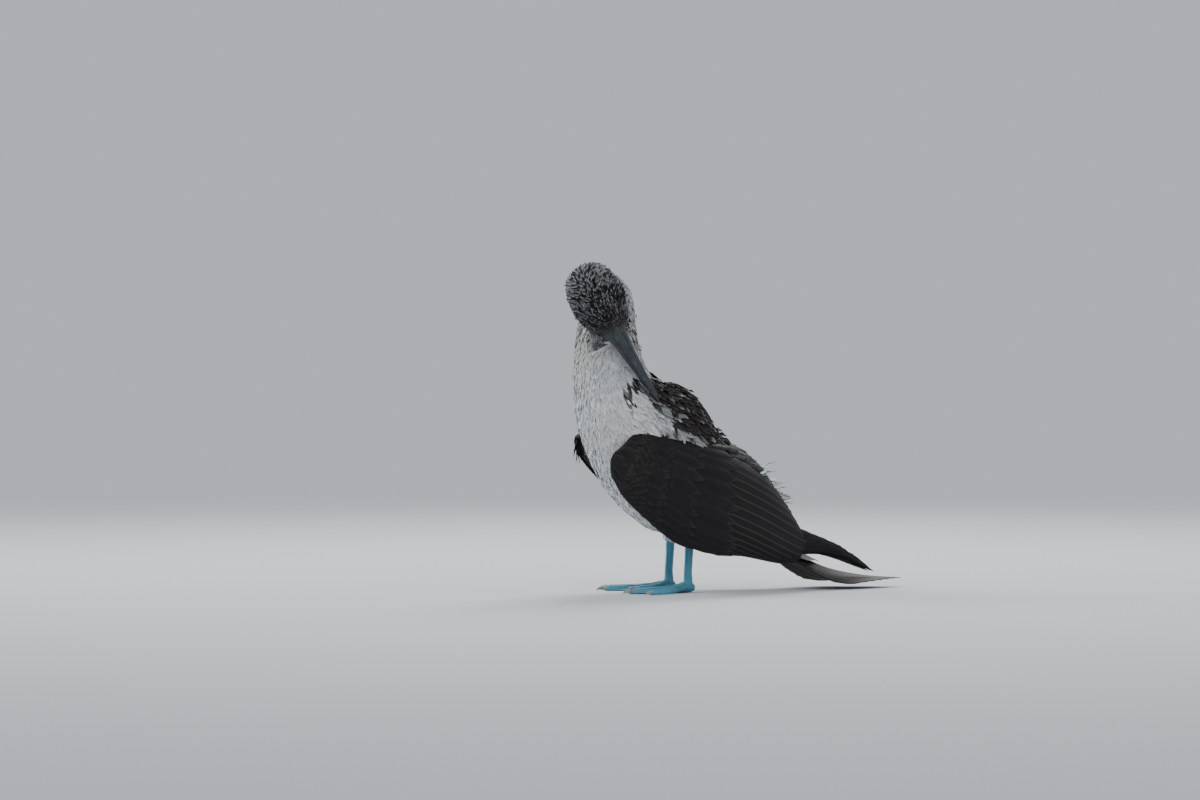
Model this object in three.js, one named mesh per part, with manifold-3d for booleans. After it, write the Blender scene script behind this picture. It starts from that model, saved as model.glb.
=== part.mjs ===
// A life-size blue-footed booby that stands on flat ground and bends its head down to preen its left shoulder.
// Units are millimetres and +Z is up. The breast faces -X, the tail +X, and the bird's left side faces -Y.
// It is modelled about a point between its legs, and moved at the end so that the origin is on the ground
// under the middle of its box.
import * as THREE from "three";
import { mergeVertices } from "three/addons/utils/BufferGeometryUtils.js";
import Module from "manifold-3d";

const wasm = await Module();
wasm.setup();

// Gap kept between neighbouring nodes
const seam = 0.35;

// The body's axis from rump to nape: centre, half height to the back, half height to the belly, half width
const bodyStations = [
  { at: [134, 0, 53], back: 13, belly: 12, side: 19 },
  { at: [108, 0, 70], back: 32, belly: 28, side: 36 },
  { at: [72, 0, 95], back: 53, belly: 47, side: 52 },
  { at: [0, 0, 137], back: 71, belly: 74, side: 64 },
  { at: [-45, 0, 180], back: 82, belly: 74, side: 66 },
  { at: [-75, 0, 216], back: 69, belly: 60, side: 60 },
  { at: [-87, 2, 248], back: 51, belly: 50, side: 51 },
  { at: [-92, 6, 284], back: 41, belly: 43, side: 42 },
  { at: [-92, 10, 316], back: 37, belly: 38, side: 37 },
  { at: [-92, 5, 344], back: 32, belly: 33, side: 33 },
  { at: [-101, -11, 361], back: 29, belly: 29, side: 30 },
  { at: [-116, -29, 364], back: 25, belly: 25, side: 26 },
];
const neckStart = 6;
const neckMiddle = 8;
const bodySides = 24;

// The bill's axis, and the head behind it: half height to the crown, half height to the throat, half width,
// and how far its middle leans to the bird's left
const billBase = new THREE.Vector3(-103, -49, 313.5);
const billTip = new THREE.Vector3(-52, -59.5, 231);
const billLength = billBase.distanceTo(billTip);
const headLength = 92;
const headSides = 24;
const headStations = [
  { along: -46, crown: 9, throat: 8, side: 10, lean: 3.5 },
  { along: -40, crown: 20, throat: 18, side: 21, lean: 3.5 },
  { along: -26, crown: 28.5, throat: 26, side: 29, lean: 3.5 },
  { along: -8, crown: 32, throat: 29, side: 32.5, lean: 3 },
  { along: 10, crown: 31, throat: 27, side: 31.5, lean: 1.8 },
  { along: 26, crown: 26, throat: 23, side: 26.5, lean: 0.6 },
  { along: 38, crown: 19.5, throat: 18.5, side: 18.5, lean: 0 },
  { along: 46, crown: 15.5, throat: 15, side: 14, lean: 0 },
];
const eyeRadius = 7.6;
const eyeAlong = 25;
const eyeRise = 5;
const eyeOut = 20;
const lidRadius = 7.2;
const lidThickness = 1.7;

// The bill in shares of its length: culmen height above the gape, depth below it, and half width
const billStations = [
  { share: 0, culmen: 14.6, keel: 13.6, side: 12.6 },
  { share: 0.14, culmen: 12.6, keel: 10.6, side: 10.6 },
  { share: 0.34, culmen: 9.9, keel: 8.2, side: 8.3 },
  { share: 0.58, culmen: 7.6, keel: 6.2, side: 6.2 },
  { share: 0.8, culmen: 5.6, keel: 4.1, side: 4.2 },
  { share: 0.93, culmen: 3.9, keel: 2.0, side: 2.6 },
  { share: 1, culmen: 1.9, keel: 0.8, side: 1.1 },
];
const billSides = 8;
const billHook = 3.2;
const lowerBillShare = 0.955;
const gapeGap = 0.5;

// The folded arm of a wing from wrist to tertials: centre of its outer face, how far the face rises and falls
// from there across the wing, and how far its two edges tuck in towards the body
const armStations = [
  { at: [-112, 57, 168], rise: 6, riseTuck: 1, fall: 6, fallTuck: 1, depth: 5 },
  { at: [-105, 62, 164], rise: 27, riseTuck: 4, fall: 21, fallTuck: 3, depth: 13 },
  { at: [-88, 68, 156], rise: 43, riseTuck: 8, fall: 35, fallTuck: 6, depth: 20 },
  { at: [-58, 73, 140], rise: 57, riseTuck: 14, fall: 45, fallTuck: 8, depth: 22 },
  { at: [2, 76, 108], rise: 76, riseTuck: 28, fall: 55, fallTuck: 14, depth: 20 },
  { at: [72, 62, 80], rise: 76, riseTuck: 46, fall: 40, fallTuck: 12, depth: 16 },
  { at: [134, 38, 53], rise: 31, riseTuck: 14, fall: 24, fallTuck: 6, depth: 6 },
  { at: [154, 32, 46], rise: 10, riseTuck: 4, fall: 9, fallTuck: 2, depth: 3 },
];
// The hand of the wing, which the folded flight feathers follow to its tip
const handStations = [
  { at: [40, 60, 74], rise: 26, riseTuck: 6, fall: 15, fallTuck: 2, depth: 3 },
  { at: [132, 35, 58], rise: 21, riseTuck: 6, fall: 13, fallTuck: 2, depth: 3 },
  { at: [196, 20, 49], rise: 11, riseTuck: 3, fall: 9, fallTuck: 2, depth: 2 },
  { at: [258, 10, 21], rise: 3, riseTuck: 1, fall: 3, fallTuck: 1, depth: 2 },
];
// The left wing droops as it is preened, and the right one is held higher at its wrist, its lower part drawn in
const rightWingRaise = 22;
const rightWingRaiseStations = 5;
const rightWingLowerShare = 0.5;
const edgeAngle = 1.2;
const wingBulge = 3;
const vaneThickness = 0.9;

// Rows of coverts from the wrist back, each with the share of the arm where its tips lie
const covertRows = [
  { root: 1.6, tip: 2.75, count: 5, lift: 1.6 },
  { root: 2.3, tip: 3.35, count: 5, lift: 1.6 },
  { root: 2.85, tip: 3.9, count: 6, lift: 1.7 },
  { root: 3.35, tip: 4.45, count: 6, lift: 1.8 },
];
const secondaryCount = 8;
const primaryTips = [3, 2.93, 2.62, 2.3, 1.98, 1.62];

// The tail's centre line and its feathers
const tailLine = [
  [104, 0, 73],
  [148, 0, 46],
  [192, 0, 25],
  [242, 0, 14],
  [300, 0, 9],
];
const tailFeatherCount = 13;
const tailFeatherLength = 200;
const tailFeatherWidth = 23;
const tailSpread = 0.034;
const tailGraduation = 11.5;
const tailDroop = 0.0032;

// Legs and feet
const stance = 30;
const ankle = [0, 62];
const footHub = [-3, 13];
const shankRadius = 4.9;
const footToeOut = 0.2;
const toes = [
  { name: "outer", angle: 0.36, length: 76, radius: 4.6, claw: 10 },
  { name: "middle", angle: -0.06, length: 79, radius: 4.8, claw: 12 },
  { name: "inner", angle: -0.52, length: 58, radius: 4.5, claw: 10 },
  { name: "hind", angle: -1.3, length: 20, radius: 3.6, claw: 6.5 },
];
const webThickness = 1.1;
const webCrown = 4.5;

const material = (color, roughness, metalness = 0) =>
  new THREE.MeshStandardMaterial({ color, roughness, metalness });
const materials = {
  plumage: material(0xcfd3d6, 0.9),
  streaked: material(0x8b8178, 0.9),
  flight: material(0x1d1815, 0.75),
  bill: material(0x4b5358, 0.5),
  eye: material(0xd9b43a, 0.1),
  foot: material(0x4a93b0, 0.55),
  claw: material(0x8d9498, 0.4),
};

// Solids from rings

// A closed solid through rings of equal count, each a loop of points, with a fan over both ends
function loft(rings) {
  const count = rings[0].length;
  const points = rings.flat();
  const faces = [];
  rings.slice(1).forEach((_, r) => {
    for (let i = 0; i < count; i++) {
      const a = r * count + i;
      const b = r * count + ((i + 1) % count);
      faces.push(a, b, a + count, b, b + count, a + count);
    }
  });
  const capEnd = (ring, first, flip) => {
    const middle = ring.reduce((sum, p) => sum.add(p), new THREE.Vector3()).divideScalar(count);
    const centre = points.push(middle) - 1;
    for (let i = 0; i < count; i++) {
      const pair = [first + i, first + ((i + 1) % count)];
      faces.push(centre, pair[flip ? 1 : 0], pair[flip ? 0 : 1]);
    }
  };
  capEnd(rings[0], 0, true);
  capEnd(rings[rings.length - 1], (rings.length - 1) * count, false);
  return solidFrom(points, faces);
}

// A manifold solid from points and triangle corners, turned right side out
function solidFrom(points, faces) {
  const make = (triVerts) =>
    new wasm.Manifold(
      new wasm.Mesh({
        numProp: 3,
        vertProperties: new Float32Array(points.flatMap((p) => [p.x, p.y, p.z])),
        triVerts: new Uint32Array(triVerts),
      }),
    );
  const made = make(faces);
  return made.volume() > 0 ? made : make(turnFaces(faces));
}

// Reverses every triangle of a list of corners
function turnFaces(corners) {
  for (let i = 0; i < corners.length; i += 3) {
    [corners[i + 1], corners[i + 2]] = [corners[i + 2], corners[i + 1]];
  }
  return corners;
}

// A manifold solid from a closed three.js geometry
function solidOf(geometry) {
  const bare = geometry.clone();
  bare.deleteAttribute("normal");
  bare.deleteAttribute("uv");
  const merged = mergeVertices(bare, 1e-4);
  return new wasm.Manifold(
    new wasm.Mesh({
      numProp: 3,
      vertProperties: merged.attributes.position.array,
      triVerts: new Uint32Array(merged.index.array),
    }),
  );
}

const joined = (solids) => solids.reduce((sum, next) => sum.add(next));

// The largest closed surface of a solid, so that sealed hollows are filled and loose scraps dropped
const largest = (solid) => solid.decompose().reduce((best, next) => (next.volume() > best.volume() ? next : best));

const root = new THREE.Group();

// Adds a solid as a named mesh, or its reflection in the bird's middle plane
function addNode(name, solid, look, mirrored = false) {
  const { numProp, vertProperties, triVerts } = largest(solid).getMesh();
  const positions = new Float32Array((vertProperties.length / numProp) * 3);
  for (let i = 0; i < positions.length / 3; i++) {
    positions.set(vertProperties.subarray(i * numProp, i * numProp + 3), i * 3);
    if (mirrored) positions[i * 3 + 1] *= -1;
  }
  if (mirrored) turnFaces(triVerts);
  const geometry = new THREE.BufferGeometry();
  geometry.setAttribute("position", new THREE.BufferAttribute(positions, 3));
  geometry.setIndex(new THREE.BufferAttribute(triVerts, 1));
  geometry.computeVertexNormals();
  const mesh = new THREE.Mesh(geometry, look);
  mesh.name = name;
  root.add(mesh);
}

// A table of stations as one smooth track: station(t).name is that column at t, a station number or between two
function track(stations, names) {
  const curveOf = (points) => new THREE.CatmullRomCurve3(points, false, "catmullrom", 0.5);
  const centre = curveOf(stations.map((s) => new THREE.Vector3(...s.at)));
  const columns = names.map((name) => curveOf(stations.map((s) => new THREE.Vector3(s[name], 0, 0))));
  const last = stations.length - 1;
  return (t) => {
    const share = THREE.MathUtils.clamp(t / last, 0, 1);
    const found = { at: centre.getPoint(share), along: centre.getTangent(share) };
    names.forEach((name, i) => (found[name] = columns[i].getPoint(share).x));
    return found;
  };
}

// Body

const bodyAt = track(bodyStations, ["back", "belly", "side"]);

// A ring of the body at station t, grown outwards and slid along the axis
function bodyRing(t, grow = 0, slide = 0) {
  const s = bodyAt(t);
  const lateral = new THREE.Vector3(0, 1, 0).addScaledVector(s.along, -s.along.y).normalize();
  const dorsal = new THREE.Vector3().crossVectors(lateral, s.along).normalize();
  return Array.from({ length: bodySides }, (_, i) => {
    const angle = (2 * Math.PI * i) / bodySides;
    const height = Math.sin(angle) > 0 ? s.back : s.belly;
    return s.at
      .clone()
      .addScaledVector(lateral, Math.cos(angle) * (s.side + grow))
      .addScaledVector(dorsal, Math.sin(angle) * (height + grow))
      .addScaledVector(s.along, slide);
  });
}

const steps = (from, to, count) => Array.from({ length: count + 1 }, (_, i) => from + ((to - from) * i) / count);

function bodyLength(from, to, count, grow, slide) {
  const rings = steps(from, to, count).map((t) => bodyRing(t, grow));
  rings[0] = bodyRing(from, grow, slide);
  return loft(rings);
}

const torso = bodyLength(0, neckStart, 14, 0, 0);
const torsoGrown = bodyLength(0, neckStart, 14, 1.7 * seam, -seam);
const neckLower = bodyLength(neckStart, neckMiddle, 4, 0, seam);
const neckGrown = bodyLength(neckStart, bodyStations.length - 1, 14, seam, seam);

// Head

const forward = new THREE.Vector3().subVectors(billTip, billBase).normalize();
const towardsCrown = new THREE.Vector3(-0.33, -0.93, 0.02);
const crown = towardsCrown.addScaledVector(forward, -towardsCrown.dot(forward)).normalize();
const left = new THREE.Vector3().crossVectors(crown, forward).normalize();
const headCentre = billBase.clone().addScaledVector(forward, -headLength / 2);

// A point of the head's own frame: along the bill's line, out to the bird's left, up to the crown
const headPoint = (along, out, rise) =>
  headCentre.clone().addScaledVector(forward, along).addScaledVector(left, out).addScaledVector(crown, rise);

const headAt = track(
  headStations.map((s) => ({ ...s, at: [s.along, 0, 0] })),
  ["crown", "throat", "side", "lean"],
);

function headLoft(grow) {
  const rings = steps(0, headStations.length - 1, 12).map((t) => {
    const s = headAt(t);
    return Array.from({ length: headSides }, (_, i) => {
      const angle = (2 * Math.PI * i) / headSides;
      const height = Math.sin(angle) > 0 ? s.crown : s.throat;
      return headPoint(s.at.x, s.lean + Math.cos(angle) * (s.side + grow), Math.sin(angle) * (height + grow));
    });
  });
  return loft(rings);
}

// An eye's centre, and the direction in which it looks, for the left (+1) or right (-1) side
const eyeCentre = (sideSign) => headPoint(eyeAlong, sideSign * eyeOut, eyeRise);
const eyeLook = (sideSign) =>
  left
    .clone()
    .multiplyScalar(sideSign * 0.88)
    .addScaledVector(forward, 0.44)
    .addScaledVector(crown, 0.12)
    .normalize();

function eyeBall(sideSign, radius) {
  const ball = new THREE.SphereGeometry(radius, 14, 8);
  ball.translate(...eyeCentre(sideSign).toArray());
  return solidOf(ball);
}

// The ring of lid that borders the eye, with a thicker upper rim
function lidRing(sideSign) {
  const ring = new THREE.TorusGeometry(lidRadius, lidThickness, 5, 14);
  const turn = new THREE.Quaternion().setFromUnitVectors(new THREE.Vector3(0, 0, 1), eyeLook(sideSign));
  ring.applyQuaternion(turn);
  const out = eyeCentre(sideSign).addScaledVector(eyeLook(sideSign), eyeRadius * 0.42);
  ring.translate(...out.toArray());
  return solidOf(ring);
}

const bothSides = [1, -1];
const headPlain = headLoft(0);
const head = bothSides.reduce(
  (solid, sideSign) => solid.add(lidRing(sideSign)).subtract(eyeBall(sideSign, eyeRadius + seam)),
  headPlain,
);
const neckUpper = bodyLength(neckMiddle, bodyStations.length - 1, 8, 0, seam).subtract(headLoft(seam));

// Bill

const billAt = track(
  billStations.map((s) => ({ ...s, at: [s.share, 0, 0] })),
  ["culmen", "keel", "side"],
);

// One half of the bill: a D-shaped loft above (+1) or below (-1) the line of the mouth
function billHalf(halfSign, share) {
  const rings = steps(0, billStations.length - 1, 9).map((t) => {
    const s = billAt(t);
    const along = headLength / 2 + seam + s.at.x * billLength * share;
    const height = halfSign > 0 ? s.culmen : s.keel;
    const hook = billHook * (s.at.x * share) ** 6;
    return Array.from({ length: billSides + 1 }, (_, i) => {
      const angle = (Math.PI * i) / billSides;
      const rise = halfSign * (gapeGap / 2 + Math.sin(angle) * height);
      return headPoint(along, Math.cos(angle) * s.side, rise - hook);
    });
  });
  return loft(rings);
}

// Wings and tail as curved faces that feathers follow

// A wing's face with its first stations raised, less at each, and its lower part drawn in to a share
const faceTrack = (stations, lowerShare, raise) =>
  track(
    stations.map((s, i) => {
      const lift = raise * Math.max(0, 1 - i / rightWingRaiseStations);
      const centre = [s.at[0], s.at[1], s.at[2] + lift];
      return { ...s, at: centre, fall: s.fall * lowerShare, fallTuck: s.fallTuck * lowerShare };
    }),
    ["rise", "riseTuck", "fall", "fallTuck", "depth"],
  );

// A point on a wing's face at station t: share runs from -1 at the lower edge to 1 at the upper edge
function wingPoint(faceAt, t, share, height) {
  const s = faceAt(t);
  const outward = new THREE.Vector3(0, 1, 0).addScaledVector(s.along, -s.along.y).normalize();
  const upward = new THREE.Vector3().crossVectors(s.along, outward).normalize();
  const reach = share > 0 ? s.rise : s.fall;
  const tuck = share > 0 ? s.riseTuck : s.fallTuck;
  const angle = Math.abs(share) * edgeAngle;
  const alongArc = Math.sin(angle) / Math.sin(edgeAngle);
  const intoBody = (1 - Math.cos(angle)) / (1 - Math.cos(edgeAngle));
  const normal = outward
    .clone()
    .multiplyScalar(reach * Math.cos(angle))
    .addScaledVector(upward, Math.sign(share) * tuck * Math.sin(angle))
    .normalize();
  return s.at
    .clone()
    .addScaledVector(upward, Math.sign(share) * reach * alongArc)
    .addScaledVector(outward, -tuck * intoBody)
    .addScaledVector(normal, height);
}

// The fleshy wing under its feathers: swollen outwards a little, and deeper towards the body
function armSlab(armAt) {
  const halfCount = 7;
  const rings = steps(0, armStations.length - 1, 14).map((t) => {
    const depth = armAt(t).depth;
    const shares = steps(-1, 1, halfCount);
    const outer = shares.map((q) => wingPoint(armAt, t, q, wingBulge * (1 - q * q)));
    const inner = shares.map((q) => wingPoint(armAt, t, q, -depth * Math.sqrt(1.02 - q * q) - 0.4));
    return [...outer, ...inner.reverse()];
  });
  return loft(rings);
}

// A feather's vane between two places of a face: a ridged plate, widest past its middle, with a tapered tip
function vane(faceAt, from, to, width, lift, profile) {
  const rings = profile.map(([share, breadth]) => {
    const t = THREE.MathUtils.lerp(from.t, to.t, share);
    const q = THREE.MathUtils.lerp(from.q, to.q, share);
    const here = faceAt(t);
    const sideways = (width * breadth) / 2 / (q > 0 ? here.rise : here.fall);
    const height = THREE.MathUtils.lerp(lift.root, lift.tip, share);
    const top = [-1, 0, 1].map((e) => wingPoint(faceAt, t, q + e * sideways, height + (e ? 0 : 0.5 * breadth)));
    const under = [1, 0, -1].map((e) => wingPoint(faceAt, t, q + e * sideways, height - vaneThickness));
    return [...top, ...under];
  });
  return loft(rings);
}

const covertProfile = [
  [0, 0.6],
  [0.45, 1],
  [0.8, 0.95],
  [1, 0.35],
];
const flightProfile = [
  [0, 0.45],
  [0.3, 0.9],
  [0.65, 1],
  [0.88, 0.75],
  [1, 0.12],
];

// Rows of coverts laid like tiles over the arm, each row's tips standing on the next
function coverts(armAt) {
  return covertRows.flatMap((row, r) =>
    Array.from({ length: row.count }, (_, i) => {
      const q = -0.8 + (1.6 * (i + (r % 2 ? 0.5 : 0.2))) / row.count;
      const slant = 0.35 * (0.3 - q);
      const here = armAt(row.tip);
      const width = (1.25 * 1.6 * (here.rise + here.fall)) / 2 / row.count;
      const lift = { root: -1.5, tip: wingBulge * (1 - q * q) + row.lift };
      return vane(armAt, { t: row.root + slant, q }, { t: row.tip + slant, q }, width, lift, covertProfile);
    }),
  );
}

// Secondaries and tertials, longest in the middle, which end the arm
function secondaries(armAt) {
  return Array.from({ length: secondaryCount }, (_, i) => {
    const share = i / (secondaryCount - 1);
    const from = { t: 3.7 + 0.2 * share, q: -0.72 + 1.5 * share };
    const to = { t: 5.55 + 0.95 * Math.sin(Math.PI * (0.12 + 0.7 * share)), q: -0.8 + 1.6 * share };
    return vane(armAt, from, to, 21, { root: -1, tip: 1.6 + 0.35 * i }, flightProfile);
  });
}

// Primaries, the outermost lowest and longest, each next one shorter and laid over it
function primaries(handAt) {
  return primaryTips.map((tip, i) => {
    const q = -0.7 + (1.5 * i) / (primaryTips.length - 1);
    const lift = { root: 0.2 * i, tip: 0.75 * i - 1 };
    return vane(handAt, { t: 0.1, q: q * 0.9 }, { t: tip, q: q * 0.75 }, 17 - i * 0.4, lift, flightProfile);
  });
}

// The tail

const tailCurve = new THREE.CatmullRomCurve3(tailLine.map((p) => new THREE.Vector3(...p)));
const tailCurveLength = tailCurve.getLength();

function tailPoint(along, out, height) {
  const share = THREE.MathUtils.clamp(along / tailCurveLength, 0, 1);
  const tangent = tailCurve.getTangentAt(share);
  const up = new THREE.Vector3(-tangent.z, 0, tangent.x);
  const over = along - share * tailCurveLength;
  const middle = tailCurve.getPointAt(share).addScaledVector(tangent, over);
  return middle.add(new THREE.Vector3(0, out, 0)).addScaledVector(up, height - tailDroop * out * out);
}

const tailProfile = [
  [0, 0.35],
  [0.4, 0.92],
  [0.75, 0.95],
  [0.93, 0.55],
  [1, 0.1],
];

function tailVane(place, length, width, height) {
  const angle = place * tailSpread;
  const rings = tailProfile.map(([share, breadth]) => {
    const along = 6 + share * length * Math.cos(angle);
    const out = place * 2 + share * length * Math.sin(angle);
    const half = (width * breadth) / 2;
    const top = [-1, 0, 1].map((e) => tailPoint(along, out + e * half, height + (e ? 0 : 0.5 * breadth)));
    const under = [1, 0, -1].map((e) => tailPoint(along, out + e * half, height - vaneThickness));
    return [...top, ...under];
  });
  return loft(rings);
}

// Tail feathers, the middle one longest and on top, over a base that tapers into them
function tailSolid() {
  const middle = (tailFeatherCount - 1) / 2;
  const feathers = Array.from({ length: tailFeatherCount }, (_, i) => {
    const place = i - middle;
    const length = tailFeatherLength - tailGraduation * Math.abs(place);
    return tailVane(place, length, tailFeatherWidth, 1.8 - 0.62 * Math.abs(place));
  });
  const coverts = [-2, -1, 0, 1, 2].map((place) =>
    tailVane(place * 1.7, 92 - 7 * Math.abs(place), 20, 5.2 - 0.7 * Math.abs(place)),
  );
  const base = loft(
    [
      [0, 25, 15, 15],
      [25, 25, 11, 10],
      [55, 20, 5, 4],
      [85, 11, 1.8, 1.6],
    ].map(([along, out, above, below]) =>
      Array.from({ length: 14 }, (_, i) => {
        const angle = (2 * Math.PI * i) / 14;
        const height = Math.sin(angle) > 0 ? above : below;
        return tailPoint(along, Math.cos(angle) * out, Math.sin(angle) * height);
      }),
    ),
  );
  return joined([base, ...feathers, ...coverts]);
}

// A smooth form a little larger than the tail, which the wings are cut clear of
const tailEnvelope = loft(
  [
    [-4, 29, 19, 20],
    [40, 33, 13, 14],
    [90, 40, 9, 11],
    [150, 46, 7, 12],
    [tailCurveLength, 30, 6, 8],
  ].map(([along, out, above, below]) =>
    Array.from({ length: 14 }, (_, i) => {
      const angle = (2 * Math.PI * i) / 14;
      const height = Math.sin(angle) > 0 ? above : below;
      return tailPoint(along, Math.cos(angle) * out, Math.sin(angle) * height);
    }),
  ),
);

const boxSolid = (size, centre) => {
  const box = new THREE.BoxGeometry(...size);
  box.translate(...centre);
  return solidOf(box);
};

// Everything on one side of the bird's middle plane and the ground
const rightHalf = boxSolid([900, 400, 900], [0, 200 + seam / 2, 450]);

// Legs and feet, made for the bird's right side

// A round bar through points, with a radius at each, flattened sideways by a share
function bar(points, radii, sides, flat = 1) {
  const curve = new THREE.CatmullRomCurve3(points);
  return loft(
    points.map((centre, p) => {
      const tangent = curve.getTangent(p / (points.length - 1));
      const reference = Math.abs(tangent.z) > 0.8 ? new THREE.Vector3(1, 0, 0) : new THREE.Vector3(0, 0, 1);
      const across = new THREE.Vector3().crossVectors(tangent, reference).normalize();
      const up = new THREE.Vector3().crossVectors(across, tangent).normalize();
      const radius = radii[p];
      return Array.from({ length: sides }, (_, i) => {
        const angle = (2 * Math.PI * i) / sides;
        return centre
          .clone()
          .addScaledVector(across, Math.cos(angle) * radius * flat)
          .addScaledVector(up, Math.sin(angle) * radius);
      });
    }),
  );
}

const at = (x, y, z) => new THREE.Vector3(x, y, z);

const thighLine = [at(28, 29, 106), at(12, 31, 84), at(2, stance, 68), at(0, stance, 57)];
const thighRadii = [24, 23, 15, 7.5];
const thighRaw = (grow) =>
  bar(
    thighLine,
    thighRadii.map((radius) => radius + grow),
    16,
  );
const thigh = thighRaw(0).subtract(torsoGrown);

// The rounded hub of a foot, on which the shank stands
const hubBar = (grow) =>
  bar(
    [at(footHub[0] + 9, stance, 5.5), at(footHub[0], stance, 6.3), at(footHub[0] - 10, stance, 5.8)],
    [4, 7, 6].map((r) => r + grow),
    12,
  );

// The shank stands from the foot's hub to the feathers of the thigh
const shank = bar(
  [at(ankle[0], stance, ankle[1]), at(-1, stance, 40), at(footHub[0] + 1, stance, 24), at(footHub[0] + 1, stance, 9)],
  [5.6, shankRadius, shankRadius, 6.2],
  12,
  0.8,
);

const toeHeading = (toe) => Math.PI - footToeOut - toe.angle;

// A point along a toe's middle line, in the foot's own place
function toePoint(toe, share) {
  const heading = toeHeading(toe);
  const distance = share * toe.length;
  const rise = THREE.MathUtils.lerp(7.5, 2.4, Math.min(1, share * 2));
  return at(footHub[0] + Math.cos(heading) * distance, stance + Math.sin(heading) * distance, rise);
}

// A toe: a tapered bar that swells at its joints
function toeSolid(toe, grow = 0) {
  const shares = [0, 0.26, 0.45, 0.7, 1];
  const radii = [1.25, 0.84, 1, 0.86, 0.66].map((r) => r * toe.radius + grow);
  return bar(
    shares.map((share) => toePoint(toe, share)),
    radii,
    7,
  );
}

// The web between two toes: a thin plate that sags between them and ends in a hollow curve
function webSolid(toeA, toeB) {
  const columns = 4;
  const rows = 4;
  const place = (c, r, lower) => {
    const along = (0.97 - 0.2 * Math.sin((Math.PI * c) / columns)) * (r / rows);
    const middle = toePoint(toeA, along).lerp(toePoint(toeB, along), c / columns);
    middle.z += webCrown * (1 - r / rows) * 0.3 - (1.3 * Math.sin((Math.PI * c) / columns) * r) / rows;
    middle.z = Math.max(middle.z, 1.6) - (lower ? webThickness : 0);
    return middle;
  };
  const rings = steps(0.12 * rows, rows, rows).map((r) => [
    ...steps(0, columns, columns).map((c) => place(c, r, false)),
    ...steps(columns, 0, columns).map((c) => place(c, r, true)),
  ]);
  return loft(rings);
}

const underGround = boxSolid([400, 400, 40], [0, 0, -20]);

const claws = toes.map((toe) => {
  const heading = toeHeading(toe);
  const tip = toePoint(toe, 1);
  const ahead = (distance, z) => at(tip.x + Math.cos(heading) * distance, tip.y + Math.sin(heading) * distance, z);
  const clear = toe.radius * 0.62;
  return {
    name: toe.name,
    solid: bar(
      [ahead(seam, tip.z + 0.2), ahead(toe.claw * 0.5, tip.z + 0.3), ahead(toe.claw, 1)],
      [clear * 0.92, clear * 0.7, 0.5],
      6,
    ).subtract(underGround),
  };
});

const toesGrown = toes.map((toe) => toeSolid(toe, seam));
const shankCut = [thighRaw(seam), hubBar(seam), ...toesGrown].reduce((bone, cutter) => bone.subtract(cutter), shank);

const foot = joined([
  hubBar(0),
  ...toes.map((toe) => toeSolid(toe)),
  webSolid(toes[0], toes[1]),
  webSolid(toes[1], toes[2]),
  webSolid(toes[2], toes[3]),
]).subtract(underGround);

// A folded wing's pieces fused, then cut clear of the body, the tail, the thigh and the middle plane
function wingSolid(lowerShare, raise) {
  const armAt = faceTrack(armStations, lowerShare, raise);
  const handAt = faceTrack(handStations, 1, 0);
  const pieces = [armSlab(armAt), ...coverts(armAt), ...secondaries(armAt), ...primaries(handAt)];
  return [torsoGrown, neckGrown, thighRaw(seam), tailEnvelope]
    .reduce((wing, cutter) => wing.subtract(cutter), joined(pieces))
    .intersect(rightHalf);
}

// The nodes

addNode("torso", torso, materials.plumage);
addNode("neck_lower", neckLower, materials.plumage);
addNode("neck_upper", neckUpper, materials.streaked);
addNode("head", head, materials.streaked);
addNode("bill_upper", billHalf(1, 1), materials.bill);
addNode("bill_lower", billHalf(-1, lowerBillShare), materials.bill);
addNode("tail", tailSolid().subtract(torsoGrown), materials.flight);
[
  { side: "right", mirrored: false, eyeSign: -1, lowerShare: rightWingLowerShare, raise: rightWingRaise },
  { side: "left", mirrored: true, eyeSign: 1, lowerShare: 1, raise: 0 },
].forEach(({ side, mirrored, eyeSign, lowerShare, raise }) => {
  addNode("eye_" + side, eyeBall(eyeSign, eyeRadius), materials.eye);
  addNode("wing_" + side, wingSolid(lowerShare, raise), materials.flight, mirrored);
  addNode("thigh_" + side, thigh, materials.plumage, mirrored);
  addNode("shank_" + side, shankCut, materials.foot, mirrored);
  addNode("foot_" + side, foot, materials.foot, mirrored);
  claws.forEach((claw) => addNode("claw_" + claw.name + "_" + side, claw.solid, materials.claw, mirrored));
});

// Puts the origin on the ground under the middle of the box
const box = new THREE.Box3().setFromObject(root);
const middle = box.getCenter(new THREE.Vector3());
root.position.set(-middle.x, -middle.y, 0);
root.updateMatrixWorld(true);

export default root;
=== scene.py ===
"""A life-size blue-footed booby that preens its left shoulder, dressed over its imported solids."""

import logging
import math
from dataclasses import dataclass, field
from enum import Enum

import bmesh
import bpy
import numpy as np
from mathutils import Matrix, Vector
from mathutils.bvhtree import BVHTree


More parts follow.
